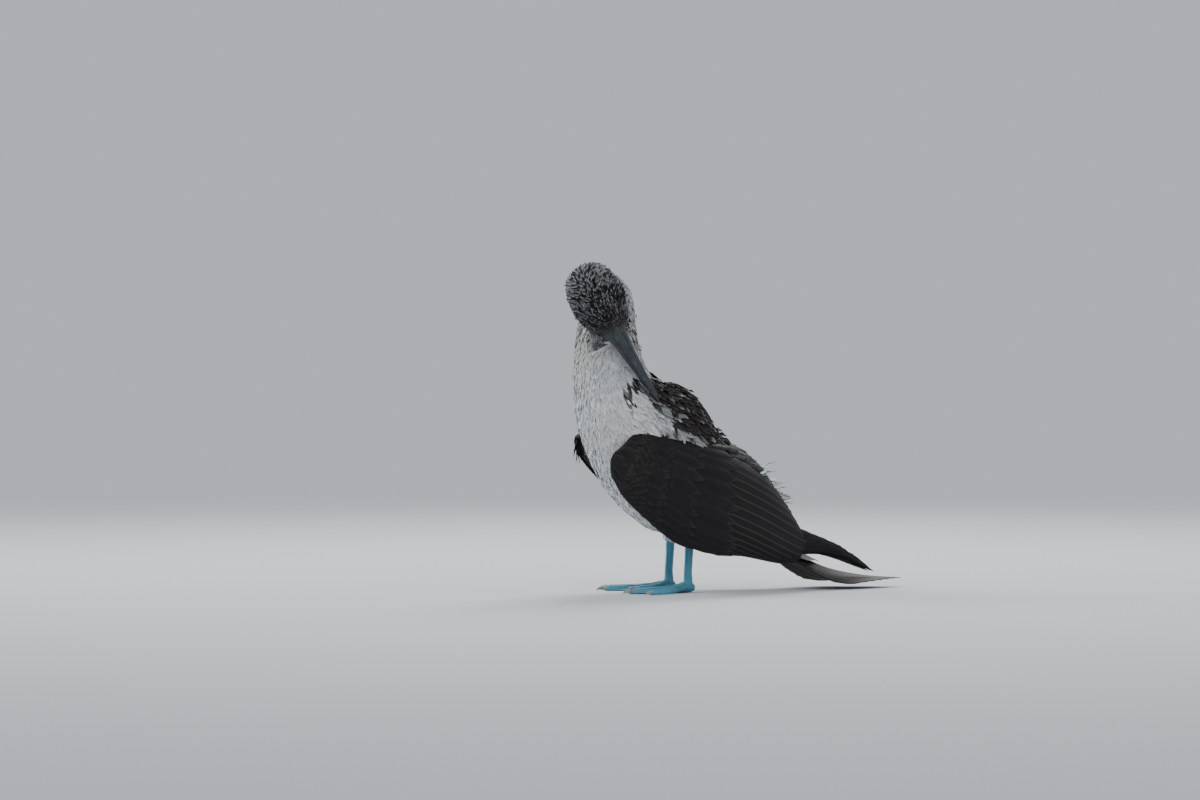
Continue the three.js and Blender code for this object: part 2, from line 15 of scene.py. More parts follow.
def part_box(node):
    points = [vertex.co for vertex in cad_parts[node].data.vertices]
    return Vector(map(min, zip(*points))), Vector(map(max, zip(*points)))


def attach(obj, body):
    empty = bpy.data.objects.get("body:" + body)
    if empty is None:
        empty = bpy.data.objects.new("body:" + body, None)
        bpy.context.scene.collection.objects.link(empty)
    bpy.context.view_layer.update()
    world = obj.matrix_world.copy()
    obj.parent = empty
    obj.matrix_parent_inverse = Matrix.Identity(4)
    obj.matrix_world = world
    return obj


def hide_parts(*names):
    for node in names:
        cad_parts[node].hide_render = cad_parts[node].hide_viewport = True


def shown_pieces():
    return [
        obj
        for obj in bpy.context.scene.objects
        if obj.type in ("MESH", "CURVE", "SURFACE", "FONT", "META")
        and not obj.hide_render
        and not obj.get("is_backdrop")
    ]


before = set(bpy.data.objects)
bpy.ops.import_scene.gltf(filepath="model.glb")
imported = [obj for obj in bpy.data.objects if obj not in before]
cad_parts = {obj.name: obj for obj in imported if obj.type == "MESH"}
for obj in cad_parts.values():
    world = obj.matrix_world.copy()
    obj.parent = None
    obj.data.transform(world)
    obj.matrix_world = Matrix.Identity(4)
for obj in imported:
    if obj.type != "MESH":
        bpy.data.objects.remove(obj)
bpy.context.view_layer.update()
LOG = logging.getLogger("booby")
MM = 0.001
BODY = "root"
Array = np.ndarray
Piece = bpy.types.Object
Material = bpy.types.Material
Triple = tuple[float, float, float]


def unit(vectors: Array) -> Array:
    """Vectors scaled to length one."""
    return vectors / np.maximum(np.linalg.norm(vectors, axis=-1, keepdims=True), 1e-9)


def smooth(low: float, high: float, value: Array) -> Array:
    """A soft step from 0 at low to 1 at high."""
    share = np.clip((np.asarray(value, float) - low) / (high - low), 0, 1)
    return share * share * (3 - 2 * share)


def mix(first: Array, second: Array, share: Array) -> Array:
    """Blend of two values, or of two colours or directions, by a share for each.

    Args:
        first: Value at share 0.
        second: Value at share 1.
        share: Share of the second value.

    Returns:
        The blended values.
    """
    share = np.asarray(share, float)
    if share.ndim and 3 in (np.shape(first)[-1:] + np.shape(second)[-1:]):
        share = share[..., None]
    return first * (1 - share) + second * share


def spline(rows: Array, t: Array) -> Array:
    """Points of a Catmull-Rom curve.

    Args:
        rows: One row of values for each station.
        t: Station numbers, or places between them.

    Returns:
        One row for each t.
    """
    rows = np.asarray(rows, float)
    last = len(rows) - 1
    padded = np.vstack([2 * rows[0] - rows[1], rows, 2 * rows[-1] - rows[-2]])
    t = np.clip(np.atleast_1d(np.asarray(t, float)), 0, last)
    low = np.minimum(np.floor(t).astype(int), last - 1)
    f = (t - low)[:, None]
    before, start, end, after = (padded[low + i] for i in range(4))
    leave = 0.5 * (end - before)
    arrive = 0.5 * (after - start)
    square = -3 * start + 3 * end - 2 * leave - arrive
    cube = 2 * start - 2 * end + leave + arrive
    return start + leave * f + square * f**2 + cube * f**3


def round_turn(count: int) -> Array:
    """Angles spaced evenly round one full turn."""
    return np.linspace(0, 2 * math.pi, count, endpoint=False)


def noise(points: Array, size: float, seed: int = 0) -> Array:
    """Smooth random values from 0 to 1 that change over a distance.

    Args:
        points: Places in millimetres, one row each.
        size: Distance over which the value changes, in millimetres.
        seed: Which of many fields to read.

    Returns:
        One value for each place.
    """
    cell = np.asarray(points, float) / size + 137.0 * seed + 1000.0
    low = np.floor(cell).astype(np.int64)
    f = cell - low
    f = f * f * (3 - 2 * f)
    total = np.zeros(len(cell))
    for corner in range(8):
        bits = np.array([corner & 1, corner >> 1 & 1, corner >> 2 & 1])
        spot = low + bits
        hashed = (spot[:, 0] * 73856093) ^ (spot[:, 1] * 19349663) ^ (spot[:, 2] * 83492791)
        value = ((hashed * 2654435761) % 4294967296) / 4294967296.0
        weight = np.prod(np.where(bits, f, 1 - f), axis=1)
        total += weight * value
    return total


@dataclass
class Track:
    """A smooth run of stations, each a centre and its sizes, in millimetres."""

    stations: list[tuple]
    centres: Array = field(init=False)
    sizes: Array = field(init=False)

    def __post_init__(self) -> None:
        """Splits the stations into centres and sizes."""
        self.centres = np.array([row[0] for row in self.stations], float)
        self.sizes = np.array([row[1:] for row in self.stations], float)

    def centre(self, t: Array) -> Array:
        """Centre at each t."""
        return spline(self.centres, t)

    def size(self, t: Array) -> Array:
        """Sizes at each t, one column for each."""
        return spline(self.sizes, t)

    def along(self, t: Array) -> Array:
        """Direction in which the stations run, at each t.

        Args:
            t: Stations along the axis.

        Returns:
            Unit directions.
        """
        last = len(self.stations) - 1
        near = np.clip(np.atleast_1d(t), 1e-3, last - 1e-3)
        return unit(self.centre(near + 1e-3) - self.centre(near - 1e-3))


@dataclass
class Axis(Track):
    """The body's axis from rump to nape, with its back, belly and side as sizes."""

    dense: int = 480

    def basis(self, t: Array) -> tuple[Array, Array, Array]:
        """Directions along, to the bird's right and to its back, at each t.

        Args:
            t: Stations along the axis.

        Returns:
            The three unit directions at each station.
        """
        along = self.along(t)
        lateral = unit(np.array([0.0, 1.0, 0.0]) - along * along[:, 1:2])
        return along, lateral, unit(np.cross(lateral, along))

    def locate(self, points: Array) -> tuple[Array, Array]:
        """Where places lie on the body.

        Args:
            points: Places in the part's millimetres.

        Returns:
            Station number and angle of each, in degrees: 0 right, 90 back, 180 left, 270 belly.
        """
        t = np.linspace(0, len(self.stations) - 1, self.dense)
        centres = self.centre(t)
        scale = self.size(t).mean(axis=1)
        best = np.zeros(len(points), int)
        for start in range(0, len(points), 20000):
            part = points[start:start + 20000]
            gap = np.linalg.norm(part[:, None] - centres[None], axis=2) / scale[None] ** 0.5
            best[start:start + 20000] = gap.argmin(axis=1)
        along, lateral, dorsal = self.basis(t)
        offset = points - centres[best]
        across = (offset * lateral[best]).sum(axis=1)
        up = (offset * dorsal[best]).sum(axis=1)
        return t[best], np.degrees(np.arctan2(up, across)) % 360


AXIS = Axis([
    ((134, 0, 53), 13, 12, 19),
    ((108, 0, 70), 32, 28, 36),
    ((72, 0, 95), 53, 47, 52),
    ((0, 0, 137), 71, 74, 64),
    ((-45, 0, 180), 82, 74, 66),
    ((-75, 0, 216), 69, 60, 60),
    ((-87, 2, 248), 51, 50, 51),
    ((-92, 6, 284), 41, 43, 42),
    ((-92, 10, 316), 37, 38, 37),
    ((-92, 5, 344), 32, 33, 33),
    ((-101, -11, 361), 29, 29, 30),
    ((-116, -29, 364), 25, 25, 26),
])


@dataclass
class HeadFrame:
    """The head's own directions: along the bill, to the bird's left and to its crown, in millimetres."""

    bill_base: Array = field(default_factory=lambda: np.array([-103.0, -49.0, 313.5]))
    bill_tip: Array = field(default_factory=lambda: np.array([-52.0, -59.5, 231.0]))
    length: float = 92.0
    eye_along: float = 25.0
    eye_rise: float = 5.0
    eye_out: float = 20.0
    eye_radius: float = 7.6

    def __post_init__(self) -> None:
        """Works out the three directions and the head's centre."""
        self.forward = unit(self.bill_tip - self.bill_base)
        crown = np.array([-0.33, -0.93, 0.02])
        self.crown = unit(crown - self.forward * crown.dot(self.forward))
        self.left = unit(np.cross(self.crown, self.forward))
        self.centre = self.bill_base - self.forward * self.length / 2
        self.bill_length = float(np.linalg.norm(self.bill_tip - self.bill_base))

    def point(self, along: Array, out: Array, rise: Array) -> Array:
        """Places from their three distances in the head's frame."""
        along, out, rise = (np.asarray(v, float)[..., None] for v in (along, out, rise))
        return self.centre + along * self.forward + out * self.left + rise * self.crown

    def local(self, points: Array) -> Array:
        """The three distances of places."""
        offset = points - self.centre
        return np.stack([offset @ self.forward, offset @ self.left, offset @ self.crown], axis=-1)

    def eye(self, sign: int) -> Array:
        """Centre of the left (+1) or right (-1) eye."""
        return self.point(self.eye_along, sign * self.eye_out, self.eye_rise)

    def gaze(self, sign: int) -> Array:
        """Direction in which an eye looks."""
        return unit(sign * 0.88 * self.left + 0.44 * self.forward + 0.12 * self.crown)


HEAD = HeadFrame()


def part_shift() -> Array:
    """Millimetres from the place where the bird is modelled to its row frame."""
    low, high = (np.array(corner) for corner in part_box("eye_left"))
    return (low + high) / 2 / MM - HEAD.eye(1)


SHIFT = part_shift()


def to_row(points: Array) -> Array:
    """Modelling millimetres to the row frame's metres."""
    return (np.asarray(points, float) + SHIFT) * MM


def from_row(points: Array) -> Array:
    """The row frame's metres to modelling millimetres."""
    return np.asarray(points, float) / MM - SHIFT


# Meshes

TUFT_PATCH = (0.0015, 0.003)


@dataclass
class MeshData:
    """Vertices, faces and what each vertex or corner carries, gathered before one mesh is made."""

    points: list[Array] = field(default_factory=list)
    quads: list[Array] = field(default_factory=list)
    colours: list[Array] = field(default_factory=list)
    vanes: list[Array] = field(default_factory=list)
    places: list[Array] = field(default_factory=list)
    leans: list[Array] = field(default_factory=list)
    count: int = 0
    feathers: int = 0

    def add(self, points: Array, quads: Array, colours: Array, vanes: Array, places: Array) -> None:
        """Adds vertices with their quads, colours, vane coordinates and bake places or feather numbers.

        Args:
            points: Places in modelling millimetres.
            quads: Corners of each quad, counted from the first of these vertices.
            colours: A colour for each vertex.
            vanes: A vane coordinate for each vertex.
            places: A bake place, or a feather number, for each vertex.
        """
        self.points.append(points.reshape(-1, 3))
        self.quads.append(quads.reshape(-1, 4) + self.count)
        self.colours.append(colours.reshape(-1, 3))
        self.vanes.append(vanes.reshape(-1, 2))
        self.places.append(places.reshape(-1, 2))
        self.count += self.points[-1].shape[0]

    def grids(self, points: Array, colours: Array, vanes: Array, places: Array | None = None,
              thick: Array | None = None) -> None:
        """Adds many like grids, each a feather or tuft.

        Args:
            points: Grid points, as feather, row, column and coordinate.
            colours: Colour of each grid point.
            vanes: Place on the vane of each grid point, across and along.
            places: Bake place of each grid point, or none where each feather gets its own cell of the map.
            thick: Offset to a second face, for a closed vane.
        """
        n, rows, columns = points.shape[:3]
        if places is None:
            places = np.zeros(vanes.shape)
            places[..., 0] = (self.feathers + np.arange(n))[:, None, None]
        self.feathers += n
        index = np.arange(rows * columns).reshape(rows, columns)
        corners = (index[:-1, :-1], index[:-1, 1:], index[1:, 1:], index[1:, :-1])
        face = np.stack(corners, axis=-1).reshape(-1, 4)
        if thick is None:
            quads = face[None] + (np.arange(n) * rows * columns)[:, None, None]
            self.add(points, quads, colours, vanes, places)
            return
        size = rows * columns
        loop = np.concatenate([index[0], index[1:, -1], index[-1, -2::-1], index[-2:0:-1, 0]])
        following = np.roll(loop, -1)
        rim = np.stack([loop, loop + size, following + size, following], axis=-1)
        every = np.concatenate([face, face[:, ::-1] + size, rim])
        quads = every[None] + (np.arange(n) * size * 2)[:, None, None]
        pairs = ((points, points + thick), (colours,) * 2, (vanes,) * 2, (places,) * 2)
        both, *looks = (
            np.concatenate([grid.reshape(n, size, -1) for grid in pair], axis=1) for pair in pairs
        )
        self.add(both, quads, *looks)

    def lay(self, points: Array, colours: Array, s: Array, x: Array, turned: bool = True,
            places: Array | None = None, below: Array | None = None, leans: Array | None = None) -> None:
        """Adds many like vanes.

        Args:
            points: Grid points, as vane, row, column and coordinate.
            colours: Colours, in a shape that spreads over the grid points.
            s: Share of the length at each row.
            x: Place across the vane at each column, from -1 to 1.
            turned: Whether columns are taken in reverse, so that the faces look outwards.
            places: Bake place of each vane, where it shares the skin's map.
            below: Grid points of a second face, for a closed vane.
            leans: Directions that shading can turn towards, in a shape that spreads likewise.
        """
        vanes = np.zeros((*points.shape[:3], 2))
        vanes[..., 0] = x
        vanes[..., 1] = s[:, None]
        step = -1 if turned else 1
        points, colours, vanes = (
            grid[:, :, ::step] for grid in (points, np.broadcast_to(colours, points.shape), vanes)
        )
        if places is not None:
            places = places[:, None, None] + (vanes - [0, 0.5]) * TUFT_PATCH
        thick = None if below is None else below[:, :, ::step] - points
        self.grids(points, colours, vanes, places, thick)
        if leans is not None:
            self.leans.append(np.broadcast_to(leans, points.shape).reshape(-1, 3))

    def build(self, name: str, material: Material, softness: float = 0.0, limit: int = 95000) -> list[Piece]:
        """Makes objects of at most a number of quads each.

        Args:
            name: Name of the first object, which later ones number.
            material: What the objects are made of.
            softness: How far shading follows the surface under the feathers, where that is known.
            limit: Most quads in one object.

        Returns:
            The new objects.
        """
        points, quads, colours, vanes, places = (
            np.concatenate(rows) for rows in (self.points, self.quads, self.colours, self.vanes, self.places)
        )
        if places.max() > 1:
            places = self._cells(places[:, 0].astype(int), vanes)
        parts = max(1, math.ceil(len(quads) / limit))
        bounds = self._breaks(quads, parts)
        made = []
        for number, (start, stop) in enumerate(zip(bounds[:-1], bounds[1:])):
            used, inverse = np.unique(quads[start:stop], return_inverse=True)
            label = name if parts == 1 else f"{name}_{number + 1}"
            piece = mesh_object(label, to_row(points[used]), inverse.reshape(-1, 4), material)
            dress_attributes(piece, colours[used], vanes[used], places[used])
            if softness:
                soften(piece, np.concatenate(self.leans)[used], softness)
            made.append(piece)
        return made

    def _cells(self, number: Array, vanes: Array) -> Array:
        """Bake places that give each numbered feather its own cell of the map.

        Args:
            number: Each vertex's feather number.
            vanes: Each vertex's vane coordinate.

        Returns:
            Places on the map, from 0 to 1.
        """
        side = math.ceil(math.sqrt(self.feathers))
        across = (number % side + 0.5 + 0.42 * np.clip(vanes[:, 0], -1, 1)) / side
        return np.stack([across, (number // side + 0.05 + 0.9 * vanes[:, 1]) / side], axis=1)

    def _breaks(self, quads: Array, parts: int) -> list[int]:
        """Quad numbers at which to cut, each where a new feather begins.

        Args:
            quads: The quads, feather by feather.
            parts: How many pieces to cut into.

        Returns:
            The quad numbers, from first to last.
        """
        firsts = quads.min(axis=1)
        ends = [0]
        highest = np.maximum.accumulate(quads.max(axis=1))
        for part in range(1, parts):
            cut = round(len(quads) * part / parts)
            while cut < len(quads) and firsts[cut:cut + 400].min() <= highest[cut - 1]:
                cut += 1
            ends.append(cut)
        return [*ends, len(quads)]


def linked(name: str, data: bpy.types.ID) -> Piece:
    """A new object in the scene, at the origin, for a mesh, a light or a camera.

    Args:
        name: Name of the object.
        data: What the object shows.

    Returns:
        The object.
    """
    thing = bpy.data.objects.new(name, data)
    bpy.context.scene.collection.objects.link(thing)
    return thing


def read_points(mesh: bpy.types.Mesh) -> Array:
    """A mesh's vertices in modelling millimetres.

    Args:
        mesh: The mesh.

    Returns:
        Places in modelling millimetres.
    """
    flat = np.zeros(len(mesh.vertices) * 3)
    mesh.vertices.foreach_get("co", flat)
    return from_row(flat.reshape(-1, 3))


def read_normals(mesh: bpy.types.Mesh) -> Array:
    """A mesh's vertex normals.

    Args:
        mesh: The mesh.

    Returns:
        A unit direction for each vertex.
    """
    flat = np.zeros(len(mesh.vertices) * 3)
    mesh.vertex_normals.foreach_get("vector", flat)
    return flat.reshape(-1, 3)


def move_points(mesh: bpy.types.Mesh, points: Array) -> None:
    """Moves a mesh's vertices to places in modelling millimetres and shades it smooth.

    Args:
        mesh: The mesh.
        points: Places in modelling millimetres.
    """
    mesh.vertices.foreach_set("co", to_row(points).ravel())
    mesh.update()
    mesh.polygons.foreach_set("use_smooth", np.ones(len(mesh.polygons), bool))


def mend(mesh: bpy.types.Mesh, merge: float = 0.0, outward: bool = True) -> None:
    """Mends a mesh made of loose parts.

    Args:
        mesh: The mesh.
        merge: Distance in metres within which doubles are merged, or 0 to keep them.
        outward: Whether the faces are turned outwards.
    """
    bm = bmesh.new()
    bm.from_mesh(mesh)
    if merge:
        bmesh.ops.remove_doubles(bm, verts=bm.verts, dist=merge)
    if outward:
        bmesh.ops.recalc_face_normals(bm, faces=bm.faces)
    bm.to_mesh(mesh)
    bm.free()


def mesh_object(name: str, points: Array, faces: Array, material: Material) -> Piece:
    """A smooth-shaded mesh object at the origin.

    Args:
        name: Object and mesh name.
        points: Vertices in the row frame, in metres.
        faces: Equal-sided faces as vertex numbers.
        material: What it is made of.

    Returns:
        The new object.
    """
    mesh = bpy.data.meshes.new(name)
    mesh.vertices.add(len(points))
    mesh.vertices.foreach_set("co", np.ascontiguousarray(points, np.float32).ravel())
    mesh.loops.add(faces.size)
    mesh.loops.foreach_set("vertex_index", np.ascontiguousarray(faces, np.int32).ravel())
    mesh.polygons.add(len(faces))
    mesh.polygons.foreach_set("loop_start", np.arange(0, faces.size, faces.shape[1], dtype=np.int32))
    mesh.update(calc_edges=True)
    mesh.validate()
    mesh.polygons.foreach_set("use_smooth", np.ones(len(mesh.polygons), bool))
    mesh.materials.append(material)
    return linked(name, mesh)


def dress_attributes(piece: Piece, colours: Array, vanes: Array | None = None,
                     places: Array | None = None) -> None:
    """Gives a mesh its colours and its maps.

    Args:
        piece: The piece.
        colours: Colour of each vertex, or one for all; on the bill, the feet and the claws it carries painted
            highlight and shade.
        vanes: Place on the vane of each vertex, or none where its finish reads none.
        places: Bake place of each vertex, for a piece of feathers.
    """
    mesh = piece.data
    count = len(mesh.vertices)
    tint = mesh.color_attributes.new("tint", "FLOAT_COLOR", "POINT")
    rgba = np.ones((count, 4), np.float32)
    rgba[:, :3] = colours
    tint.data.foreach_set("color", rgba.ravel())
    corners = np.zeros(len(mesh.loops), np.int32)
    mesh.loops.foreach_get("vertex_index", corners)
    vanes = np.zeros((count, 2)) if vanes is None else vanes
    for label, values in (("OFBake", places), ("Vane", vanes)):
        if values is not None:
            layer = mesh.uv_layers.new(name=label)
            layer.data.foreach_set("uv", np.ascontiguousarray(values[corners], np.float32).ravel())
    mesh.uv_layers.active_index = 0


def soften(piece: Piece, leans: Array, share: float) -> None:
    """Turns a piece's shading normals towards given directions by a share."""
    blended = unit(mix(read_normals(piece.data), leans, np.full(len(leans), share)))
    piece.data.normals_split_custom_set_from_vertices(blended.tolist())


def lay_piece(piece: Piece, nodes: tuple[str, ...] = ()) -> Piece:
    """Rides a finished piece on the body, in the place of nodes.

    Args:
        piece: The piece.
        nodes: Names of the solids that the piece dresses.

    Returns:
        The same piece.
    """
    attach(piece, BODY)
    if nodes:
        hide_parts(*nodes)
    return piece


def loft_mesh(name: str, rings: Array, material: Material, closed: bool = True) -> Piece:
    """A smooth solid through rings of points, with a point over each end.

    Args:
        name: Object name.
        rings: Points in modelling millimetres, as ring, point and coordinate.
        material: What it is made of.
        closed: Whether the ends get caps.

    Returns:
        The new object.
    """
    count, sides = rings.shape[:2]
    bm = bmesh.new()
    rows = [[bm.verts.new(p) for p in ring] for ring in to_row(rings)]
    for low, high in zip(rows[:-1], rows[1:]):
        for i in range(sides):
            j = (i + 1) % sides
            bm.faces.new((low[i], low[j], high[j], high[i]))
    if closed:
        for row in (rows[0], rows[-1]):
            middle = bm.verts.new(sum((v.co for v in row), Vector()) / sides)
            for i in range(sides):
                bm.faces.new((row[i], row[(i + 1) % sides], middle))
    bmesh.ops.recalc_face_normals(bm, faces=bm.faces)
    for face in bm.faces:
        face.smooth = True
    mesh = bpy.data.meshes.new(name)
    bm.to_mesh(mesh)
    bm.free()
    mesh.materials.append(material)
    return linked(name, mesh)


def joined(name: str, pieces: list[Piece]) -> Piece:
    """One object from several.

    Args:
        name: Name of the piece.
        pieces: The pieces, which are used up.

    Returns:
        The one piece.
    """
    bm = bmesh.new()
    for piece in pieces:
        bm.from_mesh(piece.data)
    mesh = bpy.data.meshes.new(name)
    bm.to_mesh(mesh)
    bm.free()
    for material in pieces[0].data.materials:
        mesh.materials.append(material)
    for piece in pieces:
        drop(piece)
    return linked(name, mesh)


def drop(piece: Piece) -> None:
    """Removes a working object and its mesh.

    Args:
        piece: The piece.
    """
    mesh = piece.data
    bpy.data.objects.remove(piece)
    bpy.data.meshes.remove(mesh)


def fixed(piece: Piece) -> Piece:
    """Applies a piece's modifiers.

    Args:
        piece: The piece.

    Returns:
        The same piece.
    """
    depsgraph = bpy.context.evaluated_depsgraph_get()
    mesh = bpy.data.meshes.new_from_object(piece.evaluated_get(depsgraph), depsgraph=depsgraph)
    old = piece.data
    piece.modifiers.clear()
    piece.data = mesh
    mesh.name = old.name
    bpy.data.meshes.remove(old)
    return piece


def fused(piece: Piece, voxel: float, passes: int) -> Piece:
    """Melts a piece's overlapping solids into one surface.

    Args:
        piece: The piece.
        voxel: Size of the grid, in millimetres.
        passes: Rounds of smoothing afterwards.

    Returns:
        The same piece.
    """
    remesh = piece.modifiers.new("melt", "REMESH")
    remesh.mode = "VOXEL"
    remesh.voxel_size = voxel * MM
    remesh.use_smooth_shade = True
    calm = piece.modifiers.new("calm", "SMOOTH")
    calm.iterations = passes
    calm.factor = 0.5
    return fixed(piece)


# Materials


class Nodes:
    """A short way to lay nodes in a tree and link them."""

    def __init__(self, tree: bpy.types.NodeTree) -> None:
        """Keeps the tree."""
        self.tree = tree

    def fill(self, node: bpy.types.Node, inputs: dict) -> None:
        """Fills a node's inputs with values or with other nodes' outputs.

        Args:
            node: The node.
            inputs: A value or an output for each input.
        """
        for key, value in inputs.items():
            if isinstance(value, bpy.types.NodeSocket):
                self.tree.links.new(value, node.inputs[key])
            else:
                node.inputs[key].default_value = value

    def add(self, kind: str, inputs: dict | None = None, **settings: object) -> bpy.types.Node:
        """A new node.

        Args:
            kind: The node's type.
            inputs: What fills its inputs.
            **settings: What it is set to before that.

        Returns:
            The node.
        """
        node = self.tree.nodes.new(kind)
        for name, value in settings.items():
            setattr(node, name, value)
        self.fill(node, inputs or {})
        return node

    def maths(self, operation: str, first: object, second: object = 0.0) -> bpy.types.NodeSocket:
        """The result of one sum of two values."""
        return self.add("ShaderNodeMath", {0: first, 1: second}, operation=operation).outputs[0]

    def span(self, value: object, low: float, high: float, start: float, end: float) -> bpy.types.NodeSocket:
        """A value whose range from low to high is made one from start to end."""
        return self.add("ShaderNodeMapRange", {0: value, 1: low, 2: high, 3: start, 4: end}).outputs[0]

    def cloud(self, group: bpy.types.NodeTree, size: float, detail: float) -> bpy.types.NodeSocket:
        """The mottling of a size and detail."""
        return self.add("ShaderNodeGroup", {"Size": size, "Detail": detail}, node_tree=group).outputs[0]

    def bump(self, height: object, strength: float, distance: float) -> bpy.types.NodeSocket:
        """The normal of a surface that rises by a height."""
        inputs = {"Strength": strength, "Distance": distance, "Height": height}
        return self.add("ShaderNodeBump", inputs).outputs[0]

    def ramp(self, factor: object, stops: list[tuple[float, Triple]]) -> bpy.types.NodeSocket:
        """The colour that a ramp of stops gives for a factor.

        Args:
            factor: Where on the ramp, as a value or an output.
            stops: The place and colour of each stop.

        Returns:
            The output with the colour.
        """
        node = self.add("ShaderNodeValToRGB", {"Fac": factor})
        ramp = node.color_ramp
        while len(ramp.elements) < len(stops):
            ramp.elements.new(0.5)
        for element, (place, colour) in zip(ramp.elements, stops):
            element.position = place
            element.color = (*colour, 1)
        return node.outputs["Color"]

    def blend(self, factor: object, first: object, second: object, kind: str = "MIX") -> bpy.types.NodeSocket:
        """Two colours mixed, each a colour or another node's output.

        Args:
            factor: Share of the second colour.
            first: The first colour.
            second: The second colour.
            kind: How they are mixed.

        Returns:
            The output with the mixed colour.
        """
        colours = (v if isinstance(v, bpy.types.NodeSocket) else (*v, 1) for v in (first, second))
        inputs = dict(zip((0, 6, 7), (factor, *colours)))
        return self.add("ShaderNodeMix", inputs, data_type="RGBA", blend_type=kind).outputs[2]


def new_material(name: str) -> tuple[Material, Nodes, bpy.types.Node]:
    """An empty material with its shader and output.

    Args:
        name: Material name.

    Returns:
        The material, its nodes and its shader.
    """
    material = bpy.data.materials.new(name)
    material.use_nodes = True
    material.node_tree.nodes.clear()
    nodes = Nodes(material.node_tree)
    shader = nodes.add("ShaderNodeBsdfPrincipled")
    nodes.add("ShaderNodeOutputMaterial", {"Surface": shader.outputs[0]})
    return material, nodes, shader


def barb_group() -> bpy.types.NodeTree:
    """A group that draws a feather's barbs and shaft from its vane coordinates.

    Returns:
        The node group.
    """
    tree = bpy.data.node_groups.new("barbs", "ShaderNodeTree")
    for name, value in (("Barbs", 30.0), ("Slant", 6.0)):
        tree.interface.new_socket(name, in_out="INPUT", socket_type="NodeSocketFloat").default_value = value
    for name in ("Barb", "Shaft"):
        tree.interface.new_socket(name, in_out="OUTPUT", socket_type="NodeSocketFloat")
    nodes = Nodes(tree)
    given = nodes.add("NodeGroupInput").outputs
    vane = nodes.add("ShaderNodeUVMap", uv_map="Vane").outputs[0]
    parts = nodes.add("ShaderNodeSeparateXYZ", {0: vane}).outputs
    across = nodes.maths("ABSOLUTE", parts[0])
    rows = nodes.maths("MULTIPLY", parts[1], given["Barbs"])
    phase = nodes.maths("SUBTRACT", rows, nodes.maths("MULTIPLY", across, given["Slant"]))
    wobble = nodes.add("ShaderNodeTexNoise", {"Vector": vane, "Scale": 7.0, "Detail": 2.0}).outputs[0]
    phase = nodes.maths("ADD", phase, nodes.maths("MULTIPLY", wobble, 1.6))
    wave = nodes.maths("SINE", nodes.maths("MULTIPLY", phase, 2 * math.pi))
    barb = nodes.maths("ADD", nodes.maths("MULTIPLY", wave, 0.5), 0.5)
    nodes.add("NodeGroupOutput", {"Barb": barb, "Shaft": nodes.span(across, 0.03, 0.1, 1.0, 0.0)})
    return tree


def blotch_group() -> bpy.types.NodeTree:
    """A group that gives a soft mottling from object coordinates.

    Returns:
        The node group.
    """
    tree = bpy.data.node_groups.new("blotches", "ShaderNodeTree")
    for name, value in (("Size", 60.0), ("Detail", 4.0)):
        tree.interface.new_socket(name, in_out="INPUT", socket_type="NodeSocketFloat").default_value = value
    tree.interface.new_socket("Blotch", in_out="OUTPUT", socket_type="NodeSocketFloat")
    nodes = Nodes(tree)
    given = nodes.add("NodeGroupInput").outputs
    where = nodes.add("ShaderNodeTexCoord").outputs["Object"]
    inputs = {"Vector": where, "Scale": given["Size"], "Detail": given["Detail"]}
    nodes.add("NodeGroupOutput", {"Blotch": nodes.add("ShaderNodeTexNoise", inputs).outputs[0]})
    return tree


@dataclass(frozen=True)
class FeatherFinish:
    """Plumage whose colour each feather carries, with barbs and a shaft drawn on its vane."""

    name: str
    barbs: float = 26.0
    slant: float = 5.0
    depth: float = 0.25
    shaft: Triple = (0.3, 0.28, 0.26)
    shaft_share: float = 0.25
    roughness: float = 0.62
    sheen: float = 0.25

    def build(self, barb: bpy.types.NodeTree, blotch: bpy.types.NodeTree) -> Material:
        """The plumage's material.

        Args:
            barb: The group that draws barbs and shaft.
            blotch: The group that gives mottling.

        Returns:
            The material.
        """
        material, nodes, shader = new_material(self.name)
        tint = nodes.add("ShaderNodeAttribute", attribute_name="tint").outputs["Color"]
        lines = {"Barbs": self.barbs, "Slant": self.slant}
        vane = nodes.add("ShaderNodeGroup", lines, node_tree=barb).outputs
        mottle = nodes.span(nodes.cloud(blotch, 90.0, 4.0), 0.3, 0.7, 0.86, 1.1)
        line = nodes.maths("SUBTRACT", 1.0, nodes.maths("MULTIPLY", vane["Barb"], self.depth))
        shade = nodes.maths("MULTIPLY", line, mottle)
        colour = nodes.add("ShaderNodeVectorMath", {0: tint, 3: shade}, operation="SCALE").outputs[0]
        share = nodes.maths("MULTIPLY", vane["Shaft"], self.shaft_share)
        height = nodes.maths("ADD", vane["Barb"], nodes.maths("MULTIPLY", vane["Shaft"], 1.5))
        nodes.fill(shader, {
            "Base Color": nodes.blend(share, colour, self.shaft),
            "Roughness": nodes.span(vane["Barb"], 0.0, 1.0, self.roughness - 0.08, self.roughness + 0.1),
            "Normal": nodes.bump(height, 0.35, 0.0002),
            "Sheen Weight": self.sheen,
            "Sheen Roughness": 0.5,
            "Specular IOR Level": 0.22,
        })
        return material


